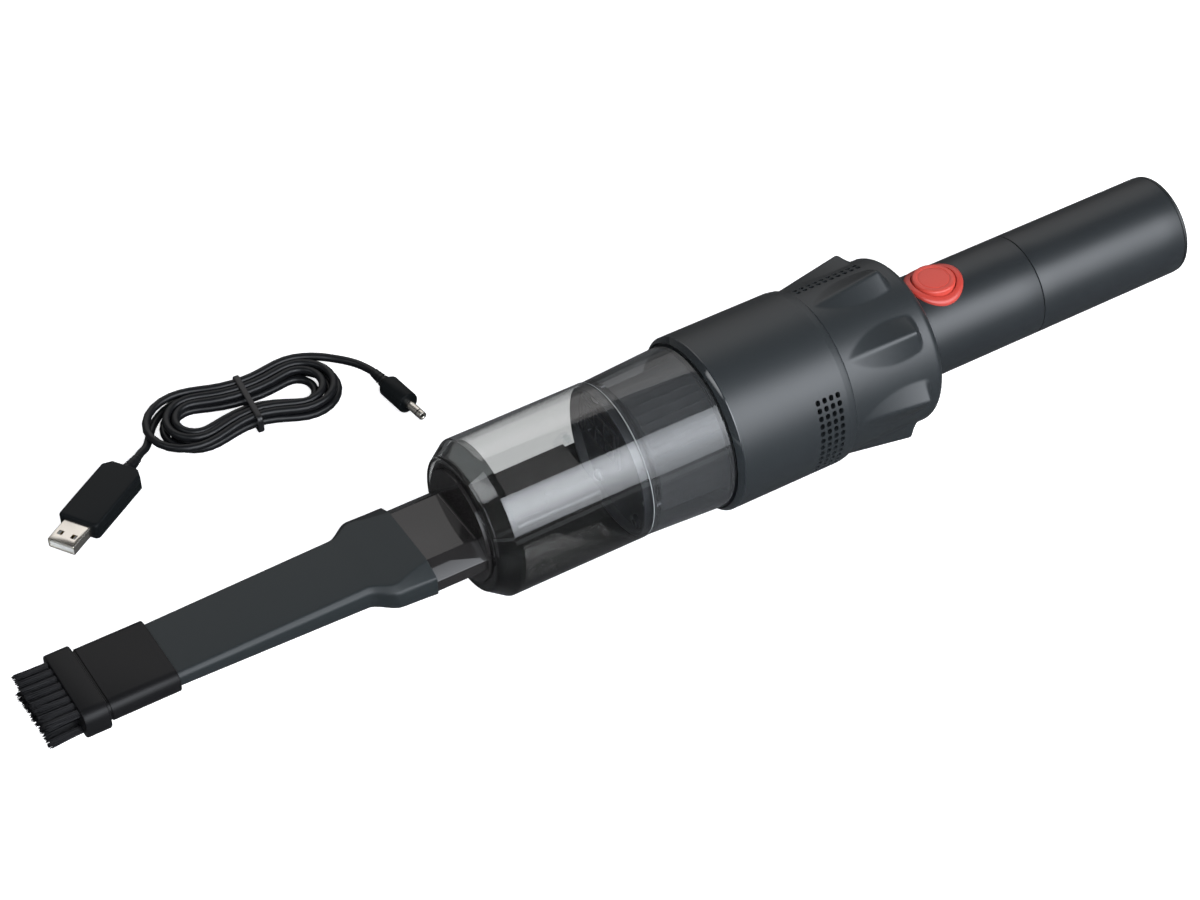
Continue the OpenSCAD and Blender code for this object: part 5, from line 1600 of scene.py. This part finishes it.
@dataclass
class MotorHousing:
    """Smooth front housing and fluted rear shell, both with real vent holes."""

    mouth: float = 18.55
    seam: float = 75.95
    length: float = 57.4
    rear_len: float = 42.6
    radius: float = 35.0
    shell_r: float = 33.5
    bores: tuple = (30.5, 26.0, 32.8)
    ledge: tuple = (15.0, 17.2)
    lip_in: float = 4.7
    lip_r: float = 33.2
    tube_hole: float = 20.65
    end_round: tuple = (5.0, 9.2)
    rear_bores: tuple = (26.15, 31.3, 32.65)
    side_vents: tuple = (60.05, 2.95, 61.2, 5.35, 4, 13)
    side_vent: tuple = (1.9, 2.3, 34.0)
    top_vents: tuple = (79.35, 3.03, -25.0, 4.5, 10, 2)
    top_vent: tuple = (1.9, 2.1, 33.0)
    vent_deep: float = 4.0
    lug: dict = field(
        default_factory=lambda: {
            "Length": 28.6, "Tail": 5.6, "Rise": 4.3,
            "Half width": 8.2, "Crest": 0.6, "Softness": 0.2,
        }
    )

    def vents(
        self, holes: Recipe, obj: bpy.types.Object, grid: tuple, hole: tuple, sides: Side
    ) -> None:
        """Cuts a grid of vent holes.

        Args:
            holes: the tree that cuts them.
            obj: the shell.
            grid: first x, pitch, first angle, angle step, columns, rows.
            hole: a hole's width along x and round the body, and its middle's radius.
            sides: whether the grid is also cut on the other side.
        """
        x, pitch, first, step, cols, rows = grid
        wide, round_way, r = hole
        section = soft_box(wide, round_way, 0.42 * min(wide, round_way), 3)
        peg = Draft().bar(section, (-self.vent_deep, self.vent_deep), 2)
        cutter = peg.piece("vent_cutter", "housing_grey", GROUND)
        counts = {"Piece": cutter, "Columns": cols, "Rows": rows, "Sides": sides.value}
        counts.update({"First angle": math.radians(first), "Angle step": math.radians(step)})
        holes.run(obj, "housing_grey", counts, {"Start": x, "Pitch": pitch, "Radius": r})
        bpy.data.objects.remove(cutter)

    def front(self, holes: Recipe) -> None:
        """The front housing with its vents, and its bright lip.

        Args:
            holes: the tree that cuts vents.
        """
        m, e, r, lip_r = self.mouth, self.mouth + self.length, self.radius, self.lip_r
        lip, back = m + self.lip_in, e - 0.4
        bore, ledge_r, rear_bore = self.bores
        near, far = m + self.ledge[0], m + self.ledge[1]
        outline = [
            (m + 6.0, lip_r), (lip + 0.1, lip_r + 0.05, 0.1), (lip + 2.4, r, 0.2),
            (e - 3.4, r, 2.0), (back, r - 0.5, 0.35), (back, rear_bore), (far, rear_bore),
            (far, ledge_r), (near, ledge_r), (near, bore), (m + 6.0, bore),
        ]
        draft = Draft().turn(divided(rounded(outline, 6), 2.2), 288)
        obj = draft.piece("front_housing_skin", "housing_grey", sharp=40)
        self.vents(holes, obj, self.side_vents, self.side_vent, Side.BOTH)
        edge = [
            (m + 5.9, lip_r - 0.02), (lip, lip_r, 0.12), (lip + 2.25, r + 0.02, 0.2),
            (lip + 2.6, r + 0.02, 0.05), (lip + 2.6, r - 0.3),
        ]
        ring = Draft().turn(rounded(edge, 4), 288)
        ring.seated("housing_lip", "lip_grey", "body", slot="housing_grey")
        seat(obj, "body", "housing_grey", "front_housing")

    def rear(self, holes: Recipe) -> None:
        """The rear shell, its lugs raised by rule and its vents cut.

        Args:
            holes: the tree that cuts vents.
        """
        s, e, r, hole = self.seam, self.seam + self.rear_len, self.shell_r, self.tube_hole
        long, drop = self.end_round
        outer = [(s, r - 0.25), (s + 0.25, r)]
        outer += [(s + x, r) for x in np.arange(0.7, self.rear_len - long, 0.42)]
        for a in (math.pi / 2 * i / 24 for i in range(25)):
            outer.append((e - long + long * math.sin(a), r - drop + drop * math.cos(a)))
        small, middle, wide = self.rear_bores
        inner = [(e, hole + 0.2), (e - 0.2, hole), (e - 4, hole), (e - 4, small)]
        inner += [(e - 6, middle), (s - 5, middle), (s - 5, wide), (s, wide)]
        draft = Draft().turn(outer + inner, 384)
        obj = draft.piece("rear_shell_skin", "housing_grey", sharp=60)
        spots = np.array([v.co for v in obj.data.vertices])
        spots[:, 2] -= AXIS_Z * MM
        around, along = np.hypot(spots[:, 1], spots[:, 2]) / MM, spots[:, 0] / MM
        share = np.clip((e - along) / long, 0, 1)
        edge = r - drop + drop * np.sqrt(np.clip(1 - (1 - share) ** 2, 0, 1))
        outside = (around > edge - 0.3) & (around > 24.0) & (along > s - 0.01)
        mark = obj.data.attributes.new("outer", "FLOAT", "POINT")
        mark.data.foreach_set("value", outside.astype(np.float32))
        sizes = {"Start": s + 2.0, "Shell radius": r, **self.lug}
        fluting().run(obj, "housing_grey", {"Lugs": 8.0}, sizes, sharp=60)
        self.vents(holes, obj, self.top_vents, self.top_vent, Side.ONE)
        smooth(obj, 48)
        seat(obj, "body", "housing_grey", "rear_shell")

    def build(self) -> None:
        """Builds both shells."""
        holes = round_the_body("Vent holes", cut=True)
        self.front(holes)
        self.rear(holes)


# Filter and cup


@dataclass
class FilterUnit:
    """Smoked chamber, partition with its window, screws and pleated paper."""

    join: float = -11.35
    back: float = 31.45
    radius: float = 30.2
    inner: float = 28.4
    cone: tuple = (30.7, 32.5, 34.2)
    wall: float = 1.6
    rim_r: float = 28.7
    rim_len: float = 3.4
    ledge_r: float = 21.9
    screw_at: float = 24.5
    folds: int = 40
    fold_depth: float = 4.6
    pleat_r: float = 25.6
    pleat_gaps: tuple = (6.1, 3.2)
    paper_t: float = 0.5
    screw_turn: float = 25.0
    boss: tuple = (1.6, 1.2, 2.7, 2.9)
    head: tuple = (1.4, 2.2)
    shank: tuple = (6.0, 1.1)
    cross_cut: tuple = (2.6, 0.55)
    window: tuple = (9.0, 6.0, 22.0, 15.0, 2.0)

    def chamber(self) -> None:
        """The smoked chamber, widening to the housing's mouth."""
        j, b = self.join, self.back
        near, far, long = self.cone
        step, inside = j + long, near - self.wall
        outline = [
            (j + 0.05, inside, 0.2), (j + 0.05, near, 0.3), (step, far, 0.3),
            (step, self.radius), (b, self.radius, 0.3), (b, self.inner, 0.2),
            (step, self.inner), (step - 1.6, far - self.wall, 0.4), (j + 3.6, inside + 0.15),
            (j + 3.6, self.ledge_r), (j + 2.05, self.ledge_r), (j + 2.05, inside),
        ]
        tube = Draft().turn(rounded(outline, 4), 160)
        tube.seated("chamber_skin", "smoked_clear", "chamber", "filter_chamber")

    def partition(self) -> None:
        """Wall before the filter, with a framed window and bosses for three screws."""
        j, rim, front = self.join, self.rim_r, self.join - self.rim_len
        outline = [(j, 0), (j, rim - 1.3, 0.4), (front, rim - 1.1, 0.3), (front, rim, 0.3)]
        outline += [(j + 2, rim), (j + 2, 0)]
        wall = Draft().turn(rounded(outline, 3), 160)
        plate = wall.piece("partition_skin", "partition_grey")
        y, z, wide, tall, edge = self.window
        ring = soft_box(wide + 2 * edge, tall + 2 * edge, 1.5, 4, (y, z))
        inset = [(y + (a - y) * 0.975, z + (b - z) * 0.965) for a, b in ring]
        join(plate, Draft().skin([(j - 1.2, inset), (j - 0.85, ring), (j + 0.5, ring)]))
        holes = Draft()
        for col in (-1, 0, 1):
            for row in (-0.5, 0.5):
                spot = y + col * wide / 3, z + row * tall / 2
                cell = soft_box(wide / 3 - 1, tall / 2 - 1, 0.6, 3, spot)
                holes.bar(cell, (j - 3, j + 3))
        cut_out(plate, holes)
        high, hole_r, top_r, foot_r = self.boss
        outline = [(j - high, hole_r), (j - high, top_r, 0.3), (j - high / 2, top_r)]
        outline += [(j + 0.5, foot_r), (j + 0.5, hole_r)]
        for i in range(3):
            turn = BODY_LINE @ Matrix.Rotation(math.radians(self.screw_turn - 120 * i), 4, "X")
            boss = Draft().turn(rounded(outline, 3), 40)
            join(plate, boss, turn @ Matrix.Translation((0, 0, self.screw_at)))
        seat(plate, "chamber", "partition_grey", "partition")

    def paper(self) -> None:
        """Pleated paper round the frame."""
        before, behind = self.pleat_gaps
        front, back, r = self.join + before, self.back - behind, self.pleat_r
        ring = [(front, r), *[(front + (back - front) * i / 8, r) for i in range(1, 8)]]
        ring += [(back, r), (back, r - self.paper_t), (front, r - self.paper_t)]
        obj = Draft().turn(ring, self.folds * 12).piece("pleated_paper", "filter_paper")
        counts = {"Folds": float(self.folds)}
        folded().run(obj, "filter_paper", counts, {"Depth": self.fold_depth})
        seat(obj, "filter", "filter_paper", "filter_pleats")

    def screws(self) -> None:
        """Three cross-head screws in the partition."""
        (high, wide), (long, thin) = self.head, self.shank
        outline = [(0, 0), (0, wide - 1, 0.5), (high - 0.5, wide, 0.35), (high, wide)]
        outline += [(high, thin), (long, thin), (long, 0)]
        head = Draft().turn(rounded(outline, 4), 32)
        cross = Draft()
        for size in (self.cross_cut, self.cross_cut[::-1]):
            cross.bar(soft_box(*size, 0.1, 1), (-0.4, 0.6))
        screw = head.piece("partition_screw_one", "screw_steel", GROUND)
        cut_out(screw, cross, GROUND)
        start = Draft([(0, 0, 0)]).piece("partition_screw_set", "screw_steel", GROUND)
        counts = {"Piece": screw, "Columns": 1, "Rows": 3, "Sides": Side.ONE.value}
        counts["First angle"] = math.radians(-self.screw_turn)
        counts["Angle step"] = math.radians(120)
        sizes = {"Start": self.join - self.boss[0], "Pitch": 0.0, "Radius": self.screw_at}
        round_the_body("Screws", cut=False).run(start, "screw_steel", counts, sizes)
        bpy.data.objects.remove(screw)
        seat(start, "chamber", "screw_steel", "partition_screws")

    def build(self) -> None:
        """Builds the pieces that show through the clear walls."""
        self.chamber()
        self.partition()
        self.paper()
        self.screws()


@dataclass
class DustCup:
    """Clear cup, the dark neck on its front, the duct inside it and the flap."""

    start: float = -74.55
    length: float = 63.2
    radius: float = 31.0
    inner: float = 29.2
    front_r: float = 26.2
    front_wall: float = 1.8
    disc_r: float = 22.0
    disc_x: float = -75.75
    flange: tuple = (1.5, 24.0)
    neck_x: float = -96.25
    neck_w: float = 41.8
    neck_t: float = 10.8
    bevel: tuple = (7.0, 5.15)
    fillet_r: float = 0.9
    spigot: tuple = (12.0, 39.6, 8.6)
    duct: tuple = (27.6, 4.6)
    duct_wall: float = 1.2
    duct_len: float = 46.0
    # Width and rise of the ring of painted highlight on the cup's rear edge
    rim_highlight_band: tuple = (0.24, 0.02)
    lining_mouth: float = 24.2
    lining_gap: float = 0.35
    lining_wall: float = 1.0
    hinge_z: float = 5.2
    pin_r: float = 0.8
    pin_half: float = 15.3
    ear_at: float = 1.05
    ear_half: float = 0.8
    ear_low: float = 2.3
    ear_top: float = 6.9
    flap_gap: float = 0.2
    flap_hub: float = 1.5
    flap_t: float = 1.0
    flap_drop: float = 8.3

    def cup(self) -> None:
        """The clear cup."""
        s, e, r, q = self.start, self.start + self.length, self.radius, self.inner
        front, low, wall = self.front_r, self.disc_r + 0.15, self.front_wall
        outline = [
            (s, low, 0.15), (s, front, 0.9), (s + 7, r, 1.6), (e, r, 0.3), (e, q, 0.4),
            (s + 7.8, q, 1.2), (s + wall, front - 0.8, 0.8), (s + wall, low, 0.1),
        ]
        cup = Draft().turn(rounded(outline, 6))
        cup.seated("cup_skin", "cup_clear", "cup", "dust_cup")

    def rim(self) -> None:
        """Ring of painted highlight: pale opaque grey on the cup's rear edge, for its bright line.
        """
        (wide, proud), e = self.rim_highlight_band, self.start + self.length
        low, high, near, far = self.radius - 0.2, self.radius + proud, e - wide, e - proud
        line = Draft().turn([(near, low), (near, high), (far, high), (far, low)])
        line.seated("cup_rim_line", "cup_rim", "cup", slot="cup_clear")

    def lining(self) -> None:
        """Smoked cone inside the cup's front bevel."""
        s, mouth, r = self.start, self.lining_mouth, self.inner - self.lining_gap
        outline = [
            (s + 3.45, mouth, 0.2), (s + 8.2, r - self.lining_wall, 0.6),
            (s + 10.0, r - 0.4, 0.2), (s + 10.0, r, 0.2), (s + 8.0, r, 0.6),
            (s + 2.6, self.front_r - 1.3, 0.2), (s + 2.6, mouth, 0.1),
        ]
        cone = Draft().turn(rounded(outline, 4), 160)
        cone.seated("cup_lining", "lining_smoke", "cup", slot="smoked_clear")

    def neck(self) -> None:
        """Neck, its disc, the spigot, the fillet on its top and the duct."""
        disc_x, (spigot_len, *spigot) = self.disc_x, self.spigot
        inside = self.start + self.front_wall
        thick, flange_r = self.flange
        block = bevelled(self.neck_w, self.neck_t, self.bevel, 0.7, 1.5, 5)
        neck = Draft().bar(block, (self.neck_x, disc_x + 0.6)).piece("neck_skin", "neck_smoke")
        tongue = bevelled(*spigot, self.bevel, 0.4, 1.5, 5)
        join(neck, Draft().bar(tongue, (self.neck_x - spigot_len, self.neck_x + 1)))
        outline = [(disc_x, 0), (disc_x, self.disc_r, 0.5), (inside, self.disc_r)]
        outline += [(inside, flange_r, 0.2), (inside + thick, flange_r, 0.2), (inside + thick, 0)]
        join(neck, Draft().turn(rounded(outline, 5), 128))
        wide, tall = (size + 2 * self.duct_wall for size in self.duct)
        end = inside + thick + self.duct_len
        join(neck, Draft().bar(soft_box(wide, tall, 2.2, 5), (inside + 0.5, end)))
        size, top = self.fillet_r, self.neck_t / 2
        low, back = top - 0.3, disc_x + 0.3
        curve = [
            (disc_x - size * (1 - math.sin(a)), top + size * (1 - math.cos(a)))
            for a in np.linspace(0, math.pi / 2, 7)
        ]
        cove = [(disc_x - size, low), *curve, (back, top + size), (back, low)]
        half = self.neck_w / 2 - self.bevel[0]
        join(neck, Draft().bar(cove, (-half, half), 1))
        way = soft_box(*self.duct, 1.4, 5)
        cut_out(neck, Draft().bar(way, (self.neck_x - spigot_len - 2, end + 3)))
        seat(neck, "cup", "neck_smoke", "inlet_neck")
        self.hinge(end)
        self.flap(end + self.flap_gap)

    def hinge(self, end: float) -> None:
        """Two ears on the duct's end, and the pin between them.

        Args:
            end: x of the duct's end.
        """
        low, top = self.ear_low, self.ear_top
        outline = [(end - 3, low, 0.3), (end + 3.4, low, 1.2), (end + 3.4, top, 1.7)]
        plate = rounded([*outline, (end - 1, top, 1.7), (end - 3, 4.5, 0.8)], 4)
        ears = Draft()
        for side in (-1, 1):
            y = side * (self.duct[0] / 2 + self.ear_at)
            ears.bar(plate, (y - self.ear_half, y + self.ear_half), 1)
        lugs = ears.piece("flap_ears", "flap_clear")
        across = Matrix.Rotation(math.radians(90), 4, "Z")
        spot = (end + self.flap_gap + self.flap_hub, 0, self.hinge_z)
        place = BODY_LINE @ Matrix.Translation(spot) @ across
        half, r, hole = self.pin_half, self.pin_r + 0.05, self.pin_half + 0.3
        cut_out(lugs, Draft().turn([(-hole, 0), (-hole, r), (hole, r), (hole, 0)], 24), place)
        seat(lugs, "cup", "cup_clear")
        outline = [(-half, 0), (-half, self.pin_r, 0.2), (half, self.pin_r, 0.2), (half, 0)]
        rod = Draft().turn(rounded(outline), 32)
        rod.seated("flap_rod", "flap_clear", "cup", "flap_pin", slot="cup_clear", place=place)

    def flap(self, front: float) -> None:
        """Thin clear flap that hangs from a hub.

        Args:
            front: x of its front face.
        """
        hub, thick, drop, half = self.flap_hub, self.flap_t, self.flap_drop, self.duct[0] / 2
        start = math.atan2(-math.sqrt(hub**2 - (hub - thick) ** 2), thick - hub)
        side = [(front, self.hinge_z - drop), (front + thick, self.hinge_z - drop)]
        side += [
            (front + hub + hub * math.cos(a), self.hinge_z + hub * math.sin(a))
            for a in np.linspace(start, math.pi, 22)
        ]
        plate = Draft().bar(side, (-half, half), 1)
        plate.seated("flap_skin", "flap_clear", "flap", "inlet_flap", slot="seal_rubber")

    def build(self) -> None:
        """Builds the cup and the neck."""
        self.cup()
        self.rim()
        self.lining()
        self.neck()


# Nozzle and brush


@dataclass
class Nozzle:
    """Flat crevice nozzle: a socket, a shoulder and a long blade."""

    back: float = -96.25
    socket_len: float = 14.2
    shoulder_len: float = 10.7
    blade_front: float = -194.55
    tip: float = -219.55
    socket: tuple = (43.0, 12.0, 10.4)
    root: tuple = (31.5, 9.6)
    blade: tuple = (30.0, 6.5)
    wall: float = 1.1
    bore: tuple = (12.6, 40.0, 9.0)
    mouth_bevel: tuple = (7.0, 3.4)
    bore_bevel: tuple = (7.0, 4.6)

    def stations(self) -> list:
        """Works out the outside of the nozzle at places along it.

        Returns:
            Each place, with the width, height, bevel and radii there.
        """
        x_socket = self.back - self.socket_len
        x_root = x_socket - self.shoulder_len
        wide, tall, low = self.socket
        root_w, root_t = self.root
        stations = [
            (self.back, wide, tall, self.mouth_bevel, 1.4, 1.6),
            (self.back - 0.35, wide, tall, self.mouth_bevel, 1.4, 1.6),
            (self.back - 7.0, wide, 11.2, (5.6, 2.8), 2.0, 1.9),
            (x_socket + 1.0, wide, low + 0.1, (3.6, 2.3), 2.4, 2.0),
        ]
        for s in (1 - i / 16 for i in range(17)):
            width = root_w + (wide - root_w) * (s * s * (3 - 2 * s))
            bevel = (1.9 + 1.6 * s, 1.8 + 0.5 * s)
            x = x_root + self.shoulder_len * s
            stations.append((x, width, root_t + (low - root_t) * s, bevel, 2.0, 2.2))
        for s in (i / 8 for i in range(1, 9)):
            width = root_w + (self.blade[0] - root_w) * s
            height = root_t + (self.blade[1] - root_t) * s
            x = x_root + (self.blade_front - x_root) * s
            stations.append((x, width, height, (1.9 - 0.4 * s, 1.8 - 0.4 * s), 1.8, 2.2 - 0.2 * s))
        return [*stations, (self.tip, *self.blade, (1.5, 1.4), 1.8, 2.0)]

    def build(self) -> None:
        """Builds the nozzle as one hollow piece."""
        x_root = self.back - self.socket_len - self.shoulder_len
        deep, wide, tall = self.bore
        room, (root_w, root_t), (blade_w, blade_t) = self.back - deep, self.root, self.blade
        walls, small = 2 * self.wall, ((1.2, 1.1), 0.8, 0.9)
        hollow = [
            (self.tip, blade_w - walls, blade_t - walls, *small),
            (self.blade_front, blade_w - walls, blade_t - walls, *small),
            (x_root, root_w - walls, root_t - walls, *small),
            (room, root_w, root_t - walls, (1.4, 1.3), 0.5, 1.2),
            (room + 0.01, wide, tall, self.bore_bevel, 0.5, 1.2),
            (self.back, wide, tall, self.bore_bevel, 0.5, 1.2),
        ]
        sections = [(x, bevelled(*size, 6)) for x, *size in [*self.stations(), *hollow]]
        nozzle = Draft().skin(sections, looped=True)
        nozzle.seated("nozzle_skin", "nozzle_grey", "nozzle", "crevice_nozzle", sharp=38)


@dataclass
class Brush:
    """Slip-on collar with a groove, a flange and two rows of tufts."""

    sleeve_x: float = -194.55
    flange_x: float = -221.55
    root_x: float = -230.95
    sleeve: tuple = (34.0, 9.7, 4.3)
    flange: tuple = (37.0, 12.6, 4.6)
    groove: tuple = (1.3, 0.5)
    edge: float = 0.35
    boss: tuple = (6.5, 2.2)
    strip: tuple = (29.0, 2.6, 0.6)
    slot: tuple = (23.0, 4.4, 1.0)
    bore: tuple = (30.4, 6.9, 2.2)
    bore_len: float = 25.2
    bristle_len: float = 13.2
    bristle_r: tuple = ((0, 0.26), (0.3, 0.255), (0.6, 0.24), (0.85, 0.21), (1.0, 0.15))
    tufts: int = 8
    strands: int = 48
    pitch: float = 3.72
    row_at: float = 3.95
    tuft: tuple = (1.42, 1.2)
    fan: float = 1.5

    def collar(self) -> None:
        """The collar, and the boss on its underside."""
        w, t, r = self.sleeve
        fw, ft, fr = self.flange
        g, d = self.groove
        sleeve, flange, root, edge = self.sleeve_x, self.flange_x, self.root_x, self.edge
        stop = sleeve - self.bore_len
        stations = [
            (sleeve, w - 2 * edge, t - 2 * edge, r - edge),
            (sleeve - 0.1, w - 0.8 * edge, t - 0.8 * edge, r - 0.1),
            (sleeve - edge, w, t, r),
            (flange + g, w, t, r),
            (flange + g - 0.05, w - 2 * d, t - 2 * d, r - d),
            (flange + 0.01, w - 2 * d, t - 2 * d, r - d),
            (flange, fw - 1.2, ft - 1.2, fr - 0.5),
            (flange - 0.15, fw - 0.4, ft - 0.4, fr - 0.1),
            (flange - 0.6, fw, ft, fr),
            (root + 0.5, fw, ft, fr),
            (root + 0.1, fw - 0.3, ft - 0.3, fr),
            (root, fw - 1.0, ft - 1.0, fr - 0.3),
            (root, *self.slot),
            (stop, *self.slot),
            (stop + 0.01, *self.bore),
            (sleeve, *self.bore),
        ]
        collar = Draft().skin([(x, soft_box(*size, 7)) for x, *size in stations], looped=True)
        collar.seated("collar_skin", "collar_black", "brush", "brush_collar", sharp=40)
        long, half = self.boss
        shape = rounded([(0, -half, 1.0), (long, -half, 2.0), (long, half, 2.0), (0, half, 1.0)])
        rings = []
        for share, drop in ((1.0, 0.0), (0.97, 0.55), (0.82, 0.85), (0.4, 0.95)):
            ring = [(flange + 1.5 + x * share, y * share) for x, y in shape]
            rings.append((-(t / 2 - 0.3 + drop), ring))
        boss = Draft().skin(rings, axis=2)
        boss.seated("collar_bosses", "collar_black", "brush")

    def bristles(self) -> None:
        """Tufts of fine strands, and the strips that they grow from."""
        long, (half_w, half_t) = self.bristle_len, self.tuft
        rings = []
        for share, r in self.bristle_r:
            angles = np.linspace(0, 2 * math.pi, 5, endpoint=False)
            ring = [(r * math.cos(a), r * math.sin(a)) for a in angles]
            rings.append((1.6 - (long + 1.6) * share, ring))
        one = Draft().skin(rings).piece("strand", "bristle_black", GROUND)
        rows = Draft()
        for side in (-1, 1):
            strip = soft_box(*self.strip, 3)
            strip = [(y, z + AXIS_Z + side * self.row_at) for y, z in strip]
            rows.bar(strip, (self.root_x + 0.3, self.root_x + 1.9))
        obj = rows.piece("bristle_rows", "bristle_black", GROUND)
        counts = {"Strand": one, "Tufts": self.tufts, "Strands": self.strands}
        sizes = {
            "Pitch": self.pitch, "Row height": self.row_at, "Tuft half width": half_w,
            "Tuft half height": half_t, "Root": self.root_x, "Length": long, "Fan": self.fan,
        }
        tufted().run(obj, "bristle_black", counts, sizes, sharp=80)
        bpy.data.objects.remove(one)
        seat(obj, "brush", "bristle_black", "brush_bristles")

    def build(self) -> None:
        """Builds the collar and the bristles."""
        self.collar()
        self.bristles()


# Inner parts


@dataclass
class Innards:
    """CAD nodes that stay as they are and get their finish."""

    def build(self) -> None:
        """Dresses each CAD node with the finish of its slot."""
        for part in frame["record"]["subparts"]:
            obj = frame["nodes"][part["node"]]
            material = FINISHES[part["material_slot"]].material()
            if not obj.material_slots:
                obj.data.materials.append(material)
            for holder in obj.material_slots:
                holder.material = material
            log.info("%s: %s", part["node"], part["material_slot"])


# Making


def main() -> None:
    """Builds the studio, the lead and each sub-assembly in order."""
    logging.basicConfig(level=logging.INFO, format="%(message)s")
    for assembly in (
        Studio(),
        ChargingLead(),
        Handle(),
        Switch(),
        MotorHousing(),
        FilterUnit(),
        DustCup(),
        Nozzle(),
        Brush(),
        Innards(),
    ):
        log.info("building %s", type(assembly).__name__)
        assembly.build()
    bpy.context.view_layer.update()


if __name__ == "__main__":
    main()
